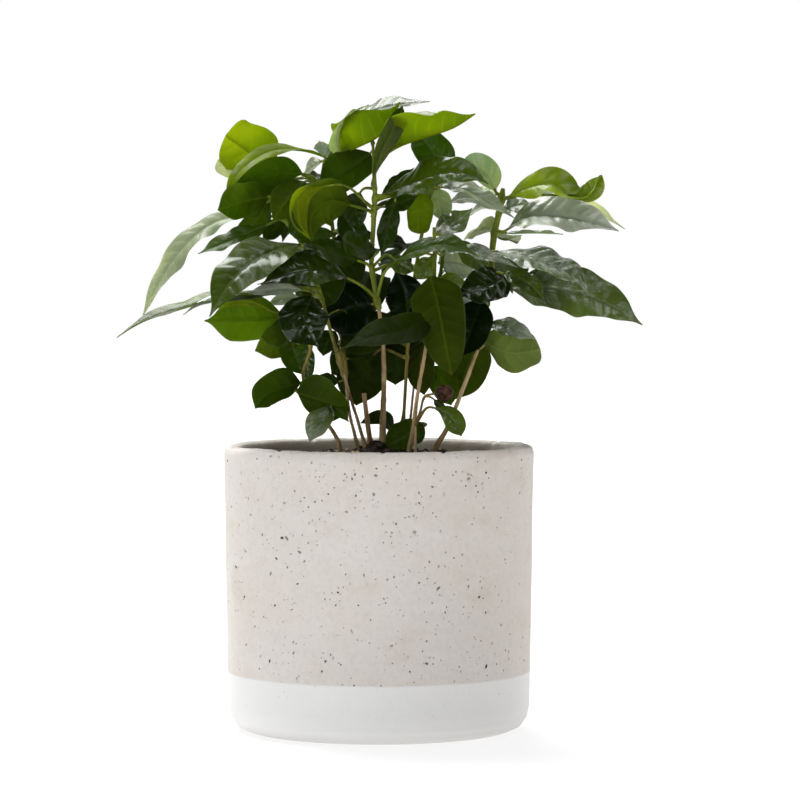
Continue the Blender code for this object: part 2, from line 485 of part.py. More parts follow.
def leaf_solid(leaf, name, where, mat):
    """Closed leaf: a stalk from the twig's axis, then a blade thickest at its midrib."""
    pts = leaf[-1]
    us = (0, 0.16, 0.38, 0.62, 0.84, 1)
    if len(pts) > 3:
        us = (0, 0.14, 0.32, 0.52, 0.72, 0.88, 1)
    sheet = blade(leaf, us, (-1, 0, 1))
    c, side, up = leaf_frame([at(*p) for p in pts], leaf[3], leaf[6], np.asarray(us, float))
    length = np.linalg.norm(np.diff(c, axis=0), axis=1).sum()
    thick = max(LEAF_THICK, length / 60)
    start = twig_at(leaf[0], leaf[1])
    way = unit(c[0] - start)
    start = start - 0.3 * way
    turn = unit(way + unit(c[1] - c[0]))
    across = side[0] - (side[0] @ turn) * turn
    across = unit(across) if np.linalg.norm(across) > 0.2 else unit(np.cross(turn, up[0]))
    over = np.cross(across, turn)
    over = over if over @ up[0] > 0 else -over
    r = PETIOLE_R
    verts = []
    for middle, axis in ((start, way), (c[0], turn)):
        flat = unit(across - (across @ axis) * axis)
        high = np.cross(flat, axis)
        high = high if high @ over > 0 else -high
        verts += [middle - flat * r, middle + high * r, middle + flat * r, middle - high * r]
    for row, normal in zip(sheet[1:], up[1:]):
        verts.extend((row[0], row[1] + normal * thick / 2, row[2], row[1] - normal * thick / 2))
    faces = [(0, 1, 2, 3)]
    n = len(us) + 1
    for i in range(n - 1):
        for j in range(4):
            k = (j + 1) % 4
            faces.append((4 * i + j, 4 * i + 4 + j, 4 * i + 4 + k, 4 * i + k))
    e = 4 * (n - 1)
    faces.append((e, e + 3, e + 2, e + 1))
    return put(name, verts, faces, where, mat)


def outward(ob):
    bm = bmesh.new()
    bm.from_mesh(ob.data)
    bmesh.ops.triangulate(bm, faces=bm.faces)
    bmesh.ops.recalc_face_normals(bm, faces=bm.faces)
    bm.to_mesh(ob.data)
    bm.free()


def fuse(base, joined, solver):
    """One Boolean union of everything in a collection onto the base."""
    mod = base.modifiers.new("join", "BOOLEAN")
    mod.operation = "UNION"
    mod.operand_type = "COLLECTION"
    mod.collection = joined
    mod.solver = solver
    bpy.context.view_layer.update()
    solid = bpy.data.meshes.new_from_object(base.evaluated_get(bpy.context.evaluated_depsgraph_get()))
    base.modifiers.clear()
    base.data = solid
    for ob in list(joined.objects):
        bpy.data.objects.remove(ob, do_unlink=True)


def keep_largest(ob):
    """Close pinched edges and drop loose scrap that a union leaves."""
    bm = bmesh.new()
    bm.from_mesh(ob.data)
    bmesh.ops.triangulate(bm, faces=bm.faces)
    bmesh.ops.remove_doubles(bm, verts=bm.verts, dist=1e-8)
    for _ in range(4):
        pinched = [e for e in bm.edges if len(e.link_faces) > 2]
        if not pinched:
            break
        bmesh.ops.collapse(bm, edges=pinched)
    bmesh.ops.dissolve_degenerate(bm, dist=2e-6, edges=bm.edges)
    bmesh.ops.triangulate(bm, faces=bm.faces)
    left = set(bm.faces)
    pieces = []
    while left:
        todo = [left.pop()]
        piece = set(todo)
        while todo:
            for edge in todo.pop().edges:
                for f in edge.link_faces:
                    if f in left:
                        left.remove(f)
                        piece.add(f)
                        todo.append(f)
        pieces.append(piece)
    pieces.sort(key=len)
    scrap = [f for piece in pieces[:-1] for f in piece]
    bmesh.ops.delete(bm, geom=scrap, context="FACES")
    bmesh.ops.recalc_face_normals(bm, faces=bm.faces)
    bm.to_mesh(ob.data)
    bm.free()


def revolve(name, outline, steps, where, mat):
    """Round solid from half its outline, given from the top down the outer side."""
    mesh = bpy.data.meshes.new(name)
    verts = [(r * 0.001, 0, z * 0.001) for r, z in outline]
    mesh.from_pydata(verts, [(i, i + 1) for i in range(len(verts) - 1)], [])
    ob = bpy.data.objects.new(name, mesh)
    where.objects.link(ob)
    screw = ob.modifiers.new("turn", "SCREW")
    screw.angle = 2 * math.pi
    screw.steps = steps
    screw.render_steps = steps
    screw.use_merge_vertices = True
    screw.merge_threshold = 0.0001
    bpy.context.view_layer.update()
    solid = bpy.data.meshes.new_from_object(ob.evaluated_get(bpy.context.evaluated_depsgraph_get()))
    ob.modifiers.clear()
    ob.data = solid
    ob.data.materials.append(mat)
    for poly in ob.data.polygons:
        poly.use_smooth = True
    return ob


for old in list(bpy.data.objects):
    bpy.data.objects.remove(old, do_unlink=True)

plant = bpy.data.collections.new("potted_coffee_plant")
bpy.context.scene.collection.children.link(plant)
joins = bpy.data.collections.new("leaves_to_join")
bpy.context.scene.collection.children.link(joins)

concrete = material("concrete", (0.68, 0.65, 0.6), 0.9)
dipped = material("white_dip", (0.86, 0.85, 0.84), 0.7)
earth = material("dark_soil", (0.05, 0.033, 0.02), 0.95)
bark = material("brown_bark", (0.3, 0.18, 0.1), 0.8)

# pot: turned from its rim down the outer side, then up the inside
inner = POT_TOP_R - POT_WALL
outline = [
    (0, POT_FLOOR),
    (inner - 6.5, POT_FLOOR),
    (inner - 2.0, POT_FLOOR + 4.5),
    (inner, POT_HEIGHT - 3.0),
    (inner + 1.0, POT_HEIGHT - 0.9),
    (inner + 3.0, POT_HEIGHT),
    (POT_TOP_R - 3.0, POT_HEIGHT),
    (POT_TOP_R - 0.8, POT_HEIGHT - 1.0),
    (POT_TOP_R, POT_HEIGHT - 3.6),
    (POT_FOOT_R + 0.35, DIP_HEIGHT),
    (POT_FOOT_R, POT_FOOT_ROUND),
    (POT_FOOT_R - 1.1, 6.6),
    (POT_FOOT_R - 4.2, 2.3),
    (POT_FOOT_R - 9.0, 0.3),
    (POT_FOOT_R - 12.0, 0),
    (0, 0),
]
pot = revolve("pot", outline, 48, plant, concrete)
pot.data.materials.append(dipped)
outward(pot)
for poly in pot.data.polygons:
    if poly.center.z < DIP_HEIGHT * 0.001 and math.hypot(poly.center.x, poly.center.y) > inner * 0.001:
        poly.material_index = 1

# potting soil: fills the pot, level where the stems stand and falling to the wall
rnd = random.Random(7)
rings = (0, 18, SOIL_FLAT_R, 46, 58, inner - 1.0)
verts = [(0, 0, SOIL_TOP)]
around = 32
for i, r in enumerate(rings[1:]):
    last = i == len(rings) - 2
    for j in range(around):
        a = 2 * math.pi * (j + 0.5 * (i % 2)) / around
        fall = max(0.0, (r - SOIL_FLAT_R) / (inner - SOIL_FLAT_R))
        z = SOIL_TOP - (SOIL_TOP - SOIL_EDGE) * fall ** 1.3
        if r > SOIL_FLAT_R and not last:
            z += rnd.uniform(-0.9, 0.9)
        rr = (inner - 2.6) if last else r
        verts.append((rr * math.cos(a), rr * math.sin(a), z))
faces = [(0, 1 + j, 1 + (j + 1) % around) for j in range(around)]
for i in range(len(rings) - 2):
    a0 = 1 + i * around
    b0 = a0 + around
    for j in range(around):
        k = (j + 1) % around
        if i % 2 == 0:
            faces.append((a0 + j, b0 + j, a0 + k))
            faces.append((a0 + k, b0 + j, b0 + k))
        else:
            faces.append((a0 + j, b0 + j, b0 + k))
            faces.append((a0 + j, b0 + k, a0 + k))
top_ring = 1 + (len(rings) - 2) * around
foot_ring = len(verts)
for r, z in ((inner - 3.2, POT_FLOOR + 5.2), (inner - 7.0, POT_FLOOR + CLEAR)):
    for j in range(around):
        a = 2 * math.pi * (j + 0.5 * ((len(rings) - 2) % 2)) / around
        verts.append((r * math.cos(a), r * math.sin(a), z))
for a0, b0 in ((top_ring, foot_ring), (foot_ring, foot_ring + around)):
    for j in range(around):
        k = (j + 1) % around
        faces.append((a0 + j, b0 + j, b0 + k, a0 + k))
faces.append(tuple(foot_ring + around + j for j in range(around)))
soil = put("potting_soil", verts, faces, plant, earth)
outward(soil)

# woody stems, each cut flat at the soil
ends = {}
for shoot, pts in STEMS.items():
    count = 2 + len(pts)
    centres, radii = stem_line(pts, count)
    centres[0, 2] = FOOT_Z
    name = "cut_stub" if shoot == "stub" else shoot + "_stem"
    ob = tube(name, centres, radii, 7, plant, bark, flat_foot=True)
    outward(ob)
    ends[shoot] = (centres[-1], unit(centres[-1] - centres[-2]), radii[-1])

# leafy shoots: the twig starts just clear of its stem's tip and its leaves are fused on
hidden = back_leaves()
greens = {
    "main": (0.12, 0.25, 0.03),
    "left_low": (0.1, 0.22, 0.03),
    "left_back": (0.16, 0.3, 0.03),
    "left_front": (0.09, 0.2, 0.03),
    "middle": (0.08, 0.17, 0.02),
    "right_front": (0.14, 0.24, 0.03),
    "inner_right": (0.12, 0.2, 0.04),
    "seedling": (0.08, 0.15, 0.04),
    "right": (0.13, 0.26, 0.05),
}
for shoot, pts in TWIGS.items():
    leafy = material(shoot + "_green", greens[shoot], 0.45)
    tip, way, thick = ends[shoot]
    centres, radii = stem_line(pts, 2 + len(pts))
    centres[0] = tip + way * CLEAR
    radii[0] = thick
    twig = tube(shoot + "_leaves", centres, radii, 6, plant, leafy, first_way=way)
    outward(twig)
    for i, leaf in enumerate(LEAVES + hidden):
        if leaf[0] != shoot:
            continue
        outward(leaf_solid(leaf, "blade%d" % i, joins, leafy))
    if shoot == "seedling":
        middle = at(31.5, -24, 163)
        bpy.ops.mesh.primitive_uv_sphere_add(segments=10, ring_count=7, radius=CHERRY_R * 0.001,
                                             location=[c * 0.001 for c in middle])
        cherry = bpy.context.object
        cherry.scale = (1, 1, 0.9)
        for holder in list(cherry.users_collection):
            holder.objects.unlink(cherry)
        joins.objects.link(cherry)
    fuse(twig, joins, "MANIFOLD")
    keep_largest(twig)

bpy.data.collections.remove(joins)
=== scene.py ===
"""Looks of a young coffee plant in a round concrete pot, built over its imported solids.

Sizes are in mm in the tables and shapes, and in metres in the meshes, materials and studio.
"""
import math
import random
from collections import namedtuple

import bpy
import numpy as np
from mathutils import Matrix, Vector, noise


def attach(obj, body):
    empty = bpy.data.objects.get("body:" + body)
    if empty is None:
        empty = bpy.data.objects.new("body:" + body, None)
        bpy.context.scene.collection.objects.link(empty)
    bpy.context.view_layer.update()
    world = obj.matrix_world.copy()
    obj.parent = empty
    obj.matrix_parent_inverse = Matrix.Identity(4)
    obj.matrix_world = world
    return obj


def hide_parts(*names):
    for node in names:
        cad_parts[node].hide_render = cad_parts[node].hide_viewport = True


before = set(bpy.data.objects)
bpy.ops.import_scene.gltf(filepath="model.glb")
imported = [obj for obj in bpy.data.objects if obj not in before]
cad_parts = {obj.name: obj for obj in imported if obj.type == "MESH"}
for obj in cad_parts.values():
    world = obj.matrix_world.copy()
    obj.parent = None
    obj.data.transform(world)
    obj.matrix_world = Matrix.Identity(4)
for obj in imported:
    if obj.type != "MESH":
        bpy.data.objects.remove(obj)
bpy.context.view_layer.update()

# driving sizes, in mm; CHERRY_AT is a place in the front view
POT_TOP_R = 75.0
POT_FOOT_R = 73.0
POT_HEIGHT = 138.0
POT_WALL = 8.0
POT_FOOT_ROUND = 12.0
DIP_HEIGHT = 28.9
SOIL_TOP = 133.1
SOIL_EDGE = 128.0
SOIL_FLAT_R = 34.0
POT_INSIDE = POT_TOP_R - POT_WALL
CHERRY_R = 4.6
CHERRY_AT = (31.5, -24, 163)
LEAF_SHEET = 0.35
STALK_R = 0.75

# The crown is laid out as it is seen from the front by an eye at this place, this far off.
EYE_X = 10.2
EYE_Z = 229.7
EYE_FAR = 1800.0
# its camera: degrees that it looks down, width and focal length of the photo in pixels, sensor in mm
LOOKS_DOWN = 2.23
PHOTO_PIXELS = 800.0
FOCAL_PIXELS = 3720.0
SENSOR = 36.0

# how finely the surfaces are built: points along and across a leaf, and round the pot and the soil
MIDRIB_POINTS = 65
ROWS = 57
COLUMNS = 21
US = np.linspace(0, 1, ROWS) ** 0.97
TS = np.linspace(-1, 1, COLUMNS)
TS = np.sign(TS) * np.abs(TS) ** 1.15
POT_STEPS = 560
SOIL_STEPS = 180

# larger pits of the pot, crumbs of the soil, and the seeds of what is random
PIT_COUNT = 120
CRUMBS = 620
CRUMBS_AT_STEMS = 330
CRUMB_REACH = 65
PIT_SEED = 17
CRUMB_SEED = 5
LEAF_SEED = 100

# stems: woody foot first, then the green twig that carries leaves; (x, y, z, radius)
STEMS = {
    "left_low": [(-18.5, -8, 133.4, 1.4), (-20, -8, 140, 1.25), (-24.5, -9, 147.5, 1.15)],
    "left_back": [(-9.6, 7, 133.4, 1.15), (-11.5, 7, 142, 0.95), (-14, 8, 152, 0.9),
                  (-16, 9, 168, 0.85)],
    "left_front": [(-6.2, -5, 133.4, 1.1), (-9.2, -5, 146, 0.9), (-13.2, -6, 159, 0.85),
                   (-17, -8, 172, 0.8)],
    "stub": [(-3.6, 2, 133.4, 1.4), (-5.2, 2, 146, 1.2), (-7.3, 2, 163, 1.1)],
    "main": [(2.0, 0, 133.4, 2.1), (1.8, 0, 145, 1.75), (2.4, 0, 165, 1.4), (2.2, 0, 183, 1.35),
             (1.4, 0, 193, 1.3), (0.2, 0, 203, 1.25)],
    "middle": [(10.6, 13, 133.4, 1.0), (11.2, 13, 141, 0.85)],
    "right_front": [(14.4, -14, 133.4, 1.35), (16.2, -14, 143, 1.2), (18.4, -14, 160, 1.1),
                    (21.5, -13, 178, 1.1), (23.6, -12, 190, 1.05)],
    "inner_right": [(13.2, 22, 133.4, 0.95), (15.2, 22, 150, 0.8), (17.0, 22, 168, 0.75)],
    "seedling": [(17.6, -20, 133.4, 0.8), (17.8, -20, 147, 0.65)],
    "right": [(26.5, 6, 133.4, 1.5), (33, 6, 146, 1.3), (37.5, 6, 157, 1.2), (43, 6, 171, 1.15),
              (47.8, 6, 184, 1.1)],
}
TWIGS = {
    "left_low": [(-24.8, -9, 148.1, 1.1), (-28, -10, 155, 1.0), (-34, -8, 164, 1.0),
                 (-36.7, -6, 171, 0.9), (-33, -4, 186, 0.85), (-36, -3, 196, 0.8), (-42, -2, 203, 0.7)],
    "left_back": [(-16.1, 9.1, 168.4, 0.85), (-18, 13, 190, 0.9), (-20, 18, 220, 0.9),
                  (-23, 22, 248, 1.0), (-25.6, 24, 266, 1.2), (-26.2, 24, 276, 0.8)],
    "left_front": [(-17.1, -8.1, 172.4, 0.8), (-22, -9, 188, 0.8), (-28, -10, 210, 0.85),
                   (-36, -8, 232, 0.85), (-45, -2, 247, 0.85), (-52, 3, 258, 0.75)],
    "main": [(0.1, 0, 203.4, 1.25), (-1.4, 0, 210, 1.25), (-2.6, 0, 218, 1.2), (-3.6, 0, 225, 1.1),
             (-3.0, 0, 238, 1.1), (-2.4, 0, 249, 1.25), (-1.9, 0, 258, 1.1), (-2.4, 0, 272, 0.9),
             (-3, 0, 285.5, 0.6)],
    "middle": [(11.2, 13, 141.4, 0.85), (12.2, 13, 155, 0.8), (13.2, 14, 172, 0.85), (15, 18, 200, 0.9),
               (19, 20, 230, 0.9), (24, 18, 256, 0.9), (27, 14, 270, 0.8)],
    "right_front": [(23.7, -11.9, 190.4, 1.05), (25.5, -10, 202, 1.05), (26.5, -8, 217, 1.1),
                    (27, -6, 232, 0.9), (26.6, -3, 243, 0.7)],
    "inner_right": [(17.05, 22, 168.4, 0.75), (21, 24, 190, 0.85), (28, 26, 212, 0.9),
                    (30.8, 26, 228, 0.85), (32.5, 22, 246, 0.9), (32.5, 20, 256, 0.7)],
    "seedling": [(17.85, -20, 147.4, 0.6), (20, -22, 154, 0.6), (22.5, -23.5, 161.5, 0.55),
                 (26, -24, 162.5, 0.5), (31, -24, 163, 0.5)],
    "right": [(48, 6, 184.4, 1.1), (51, 8, 200, 1.1), (53.5, 12, 215, 1.1), (54.6, 16, 230, 1.1),
              (56, 18, 241, 1.25), (58, 19, 250, 1.1), (59.4, 19, 258, 1.2), (60, 19, 262, 0.7)],
}

# leaves seen from the front: shoot, height of the node, width, way the top side looks,
# fold at the midrib, curl of the halves, twist along the blade, outline, tint, midrib points
Leaf = namedtuple("Leaf", "shoot node width face fold curl twist outline tint midrib")
LEAVES = [
    # upper left
    ("left_back", 262, 30, (-0.2, 0.85, 0.45), 4, -8, 0, "blunt", "lime",
     [(-50, 30, 268.5), (-62, 34, 279), (-74, 36, 287.5)]),
    ("left_back", 272, 11, (0, -0.45, 0.9), 12, -10, -40, "long", "fresh",
     [(-25, 20, 276.5), (-36, 13, 280.5), (-52, 5, 280), (-65, -2, 272.5), (-72, -5, 263),
      (-73.5, -6, 254.5)]),
    ("left_front", 257, 20, (0, 0.85, 0.5), 4, 0, 0, "round", "mid",
     [(-54, 1, 258), (-65, -3, 256), (-78, -6, 251.5)]),
    ("left_front", 256, 13, (0.45, 0.85, 0.1), 5, -15, 0, "round", "mid",
     [(-54, 6, 255), (-59, 6, 246), (-69, 3, 236)]),
    ("left_back", 258, 17, (0, 0.8, 0.6), 8, 0, 0, "round", "mid",
     [(-37, 14, 269), (-49, 9, 269.5), (-71, 6, 262)]),
    ("left_back", 258, 19, (0.3, 0.85, 0.3), 4, 0, 0, "round", "mid",
     [(-36, 10, 265), (-43, -6, 257), (-51, -12, 246.5)]),
    ("left_front", 246, 18, (-0.35, -0.5, 0.75), 10, -10, 0, "long", "mist",
     [(-62, 16, 248.5), (-77, 20, 246.5), (-88.5, 20, 239.5), (-98.5, 18, 228.5), (-106.8, 16, 215.5),
      (-115, 12, 199)]),
    ("left_front", 248, 15, (-0.1, -0.5, 0.85), 8, 0, 0, "long", "mid",
     [(-54, -8, 244.5), (-69, -13, 238), (-87.5, -18, 230.5)]),
    ("left_front", 213, 16, (-0.15, -0.25, 0.95), 12, 0, 0, "long", "palegreen",
     [(-52, -16, 212.5), (-80, -22, 208.5), (-98, -24, 203.5), (-114, -26, 198), (-127, -28, 190)]),
    ("left_front", 232, 26, (-0.2, -0.75, 0.6), 10, -8, 0, "long", "milk",
     [(-38, -16, 235), (-50, -28, 232), (-67, -42, 222), (-82, -52, 200)]),
    ("left_front", 209, 8, (0, -0.8, 0.5), 6, 0, 0, "long", "white",
     [(-37, -15, 213), (-49, -20, 213.5), (-64, -21, 211)]),
    ("left_low", 202, 25, (0, 0.93, 0.36), 10, -6, 0, "long", "mid",
     [(-45, -8, 199.5), (-62, -12, 198.5), (-74, -16, 198), (-84.5, -18, 198)]),
    ("left_low", 196, 14, (0, 0.9, 0.4), 6, 0, 0, "round", "dark",
     [(-40, -14, 193), (-48, -20, 192), (-57, -25, 190)]),
    ("left_low", 190, 14, (0, 0.9, 0.4), 4, 0, 0, "round", "olive",
     [(-39, 2, 187), (-49, 5, 186), (-60, 8, 183.5)]),
    ("left_low", 194, 15, (0.2, -0.9, 0.3), 6, 0, 0, "round", "mid",
     [(-43, 2, 192), (-41, 3, 182), (-37, 2, 172)]),
    ("left_low", 168, 20, (-0.1, 0.85, 0.5), 14, 0, 0, "round", "dark",
     [(-38, -10, 168), (-46, -14, 166), (-54, -17, 162.5), (-60, -19, 155.5)]),
    ("left_low", 165, 24, (0, 0.85, 0.5), 5, -6, 0, "round", "dark",
     [(-39.5, -16, 163.5), (-27, -23, 159.5), (-14, -26, 154.5)]),
    ("left_low", 158, 14, (-0.3, -0.8, 0.5), 12, 0, 0, "long", "silver",
     [(-23, -25, 157), (-28, -29, 149.5), (-34, -34, 138.8)]),
    ("left_low", 156, 8, (0.2, -0.8, 0.5), 10, 0, 0, "long", "mid",
     [(-25, -22, 158), (-20, -27, 154.5), (-14.5, -31, 149)]),
    # top
    ("left_back", 274, 35, (0.1, 0.1, 0.95), 52, -12, 0, "long", "lime",
     [(-18, 18, 280), (-9.5, -3, 283), (0, -9, 288), (6, -10, 295), (10, -8, 303.5)]),
    ("main", 270, 30, (-0.1, 0.1, 0.95), 50, -10, 0, "long", "lime",
     [(0, -6, 276), (9, -12, 282.5), (22, -18, 287.3), (36, -20, 291.8), (46.5, -20, 298)]),
    ("main", 284, 22, (0, 0.8, 0.6), 4, 0, 0, "round", "dark",
     [(-4, 6, 279), (-15, 10, 271), (-29, 12, 262)]),
    # around the main stem
    ("main", 250, 23, (0, 0.9, 0.3), 6, -12, 0, "round", "olive",
     [(-14, -10, 254), (-25, -16, 255.5), (-33, -19, 248), (-32, -20, 238)]),
    ("main", 224, 14, (0, -0.8, 0.5), 8, 0, 0, "long", "dark",
     [(-10, -8, 227), (-22, -14, 231), (-35, -18, 236)]),
    ("main", 228, 13, (0, -0.9, 0.4), 10, 0, 0, "long", "dark",
     [(-1, -8, 232), (-8, -16, 233), (-16, -23, 236), (-15.5, -25, 230.5)]),
    ("main", 209, 23, (0, -0.75, 0.65), 10, 0, 0, "long", "gloss",
     [(-15, -8, 218.5), (-26, -14, 222.5), (-40, -20, 222), (-57, -26, 215.5)]),
    ("main", 208, 27, (0, -0.95, 0.3), 4, 0, 0, "round", "black",
     [(-3, 8, 206), (-14, 9, 203.5), (-27, 9, 197)]),
    ("left_front", 208, 25, (0, -0.9, 0.4), 6, 0, 0, "long", "ripple",
     [(-32, -16, 210), (-36, -22, 199), (-29, -26, 185)]),
    ("right_front", 205, 21, (0, -0.6, 0.8), 6, 0, 70, "long", "shade",
     [(27, -18, 201), (14, -28, 194), (-3, -32, 190.5), (-22.5, -30, 182)]),
    ("main", 222, 19, (0, -0.95, 0.25), 4, 0, 0, "long", "black",
     [(8, 10, 222), (12, 10, 212), (14, 8, 194)]),
    ("main", 209, 24, (0, -0.5, 0.87), 10, -10, 0, "long", "mid",
     [(5, -10, 224), (17, -27, 231.5), (30, -36, 235), (40, -38, 233), (48, -38, 229.5)]),
    ("main", 258, 24, (0, -0.7, 0.7), 12, -8, 0, "long", "leafy",
     [(3, -6, 259), (16, -18, 264.5), (32, -28, 269.5), (45, -32, 268.5), (53, -33, 264)]),
    ("main", 257, 14, (0.2, -0.45, 0.85), 10, 0, 0, "long", "pale",
     [(30, -2, 262.5), (42, -8, 261), (54, -12, 254.5), (66, -14, 247.5)]),
    ("main", 256, 11, (0.4, -0.85, 0.1), 8, 0, 0, "long", "dark",
     [(8, 4, 256), (5, 2, 246), (1, 0, 229)]),
    ("main", 252, 9, (0, -0.85, 0.4), 8, 0, 0, "long", "dark",
     [(2, 8, 253), (10, 10, 254.5), (19, 10, 258.5)]),
    ("main", 232, 12, (0, -0.7, 0.7), 6, 0, 0, "long", "shade",
     [(2, 8, 233), (8, 14, 236), (16, 20, 233)]),
    ("middle", 258, 13, (0, 0.95, 0.1), 4, 0, 0, "blunt", "bright",
     [(21, 12, 262), (20, 10, 251), (19, 8, 240)]),
    ("inner_right", 246, 15, (-0.2, -0.7, 0.6), 10, 0, 30, "long", "moss",
     [(31, 14, 250), (34, 8, 244), (39, 6, 246), (45, 4, 252.5)]),
    ("middle", 268, 20, (0.3, -0.9, 0.2), 8, 0, 0, "blunt", "mid",
     [(34, 10, 267), (27, 8, 278), (18.5, 4, 289.5)]),
    ("inner_right", 226, 21, (0, -0.8, 0.5), 4, 0, 0, "round", "white",
     [(29, 28, 226), (37, 31, 226), (46, 34, 223)]),
    ("right_front", 240, 12, (0.3, -0.8, 0.4), 6, 0, 0, "long", "milk",
     [(36, -4, 237), (45, -2, 229), (54, 0, 220)]),
    # right
    ("right", 258, 14, (-0.4, -0.7, 0.6), 10, 0, 0, "round", "misty",
     [(56, 20, 261), (53, 20, 268), (47, 19, 273), (39.5, 16, 274)]),
    ("right", 257, 20, (0, -0.5, 0.85), 14, -8, -90, "blunt", "bright",
     [(63, 12, 258), (74, 4, 263), (84, 0, 264), (92, -3, 258.5), (100, -5, 257.5), (107.5, -5, 268.5)]),
    ("right", 256, 26, (0, -0.35, 0.93), 10, 0, 0, "long", "mist",
     [(62, 26, 257), (75, 34, 259.5), (98, 42, 254), (119, 44, 242.5)]),
    ("right", 256, 14, (0, -0.5, 0.85), 8, 0, 0, "long", "bright",
     [(57, 28, 259), (50, 36, 260), (40, 44, 257)]),
    ("right", 241, 30, (0, -0.6, 0.8), 14, 0, 0, "long", "silver",
     [(62, 10, 242), (72, 2, 248), (85, -4, 248.5), (100, -6, 246), (116, -8, 241.5)]),
    ("right", 240, 11, (0, 0, 1), 6, 0, 0, "long", "pale",
     [(61, 26, 240.5), (75, 32, 241), (89, 38, 240)]),
    ("right", 250, 14, (0.1, -0.5, 0.9), 6, 0, 0, "long", "white",
     [(60, 22, 253), (50, 27, 253), (42, 33, 248), (36, 36, 241)]),
    ("right", 241, 17, (0.1, -0.6, 0.8), 6, 0, 0, "round", "mist",
     [(57, 20, 242.3), (49, 26, 242), (41, 32, 237.2)]),
    ("right", 240, 12, (0, -0.5, 0.9), 4, 0, 0, "long", "palegreen",
     [(57, 26, 239), (62, 34, 237.5), (69, 42, 239.5)]),
    ("right", 229, 24, (0.15, -0.5, 0.85), 12, -10, 0, "long", "streaked",
     [(57, 0, 231.5), (71, -14, 229), (88, -26, 222.5), (97, -31, 217.5), (101.5, -33, 210)]),
    ("right", 216, 26, (0, -0.85, 0.5), 10, -10, 0, "long", "moss",
     [(62, -4, 214), (80, -12, 214), (105, -18, 209), (127.5, -22, 196)]),
    ("right", 213, 20, (0, -0.9, 0.4), 8, 0, 0, "long", "ripple",
     [(62, 0, 221), (54, -10, 215.5), (37, -18, 210.5)]),
    ("right", 206, 18, (0.2, -0.95, 0.2), 4, 0, 0, "round", "black",
     [(50, -4, 208), (46.5, -10, 198), (40, -14, 181)]),
    ("right", 192, 21, (0, 0.95, 0.1), 4, 0, 0, "round", "olive",
     [(49, 22, 190), (44, 24, 178), (37, 22, 160)]),
    ("right", 190, 24, (0, 0.85, 0.5), 16, -6, 0, "blunt", "palegreen",
     [(49, 2, 190), (56, -4, 185.5), (64, -7, 182.5), (78, -10, 184.5)]),
    ("right_front", 218, 25, (0, 0.9, 0.2), 4, -6, 0, "spade", "olive",
     [(25, -14, 219.5), (28, -20, 208), (31, -24, 193), (35.3, -24, 171.5)]),
    # low in the middle
    ("middle", 186, 20, (0, 0.9, 0.2), 4, 0, 0, "round", "shade",
     [(-3, 28, 190), (-12, 30, 182), (-23, 28, 172)]),
    ("middle", 180, 24, (0, -0.9, 0.3), 4, 0, 0, "round", "shade",
     [(-2, 16, 182), (-8, 16, 172), (-11, 15, 157)]),
    ("middle", 192, 23, (0, -0.9, 0.3), 4, 0, 0, "round", "shade",
     [(9, 21, 192), (8, 19.5, 181), (8, 18, 167)]),
    ("inner_right", 186, 14, (0, 0.9, 0.3), 4, 0, 0, "round", "shade",
     [(22, 18, 188), (20, 16, 178), (22, 14, 162)]),
    ("inner_right", 178, 14, (0, 0.9, 0.3), 4, 0, 0, "round", "mid",
     [(26, 20, 176), (31, 18, 168), (35, 14, 157)]),
    ("middle", 207, 22, (0, -0.9, 0.4), 4, 0, 0, "round", "shade",
     [(21, 16, 203), (12, 20, 194), (0, 22, 184)]),
    ("middle", 200, 20, (0, -0.9, 0.4), 4, 0, 0, "round", "shade",
     [(8, 12, 200), (-4, 10, 192), (-19, 7, 186)]),
    ("left_back", 226, 20, (0, -0.9, 0.3), 4, 0, 0, "round", "shade",
     [(-20, 8, 226), (-27, 6, 215), (-33, 4, 203)]),
    ("left_back", 240, 16, (0, -0.9, 0.3), 4, 0, 0, "round", "shade",
     [(-19, 12, 240), (-16, 10, 230), (-9, 8, 216)]),
    ("left_back", 254, 13, (0, -0.9, 0.3), 4, 0, 0, "round", "dark",
     [(-19, 8, 250), (-13, 6, 242), (-7, 5, 230)]),
    ("middle", 146, 10, (0, -0.7, 0.7), 6, 0, 0, "round", "dark",
     [(7, 9, 143), (3, 7, 150), (-9, 5, 148.5)]),
    ("middle", 148, 15, (0, -0.9, 0.4), 5, 0, 0, "round", "mid",
     [(22, 2, 147), (13, -5, 143), (3, -8, 136.5)]),
    # small ones at the back
    ("left_back", 274, 11, (0.3, -0.5, 0.8), 8, 0, 0, "long", "mist",
     [(-26, 28, 277), (-27, 30, 281), (-29, 32, 285)]),
    ("left_back", 273, 10, (0, -0.5, 0.8), 6, 0, 0, "long", "mist",
     [(-24, 28, 276), (-21, 32, 279), (-17, 36, 282)]),
    ("left_back", 273, 14, (0, -0.5, 0.8), 6, 0, 0, "round", "mist",
     [(-28, 28, 275), (-33, 31, 271.5), (-38, 34, 266.5)]),
    # the seedling's two leaves
    ("seedling", 150, 11, (0.3, -0.9, 0.3), 14, 0, 0, "ob", "milk",
     [(26, -26, 156), (33, -29, 153), (40, -31, 142)]),
    ("seedling", 161.5, 4, (0, -0.9, 0.3), 4, 0, 0, "long", "dull",
     [(26.5, -25, 160), (29, -26, 157.5), (33, -27, 154.5)]),
]

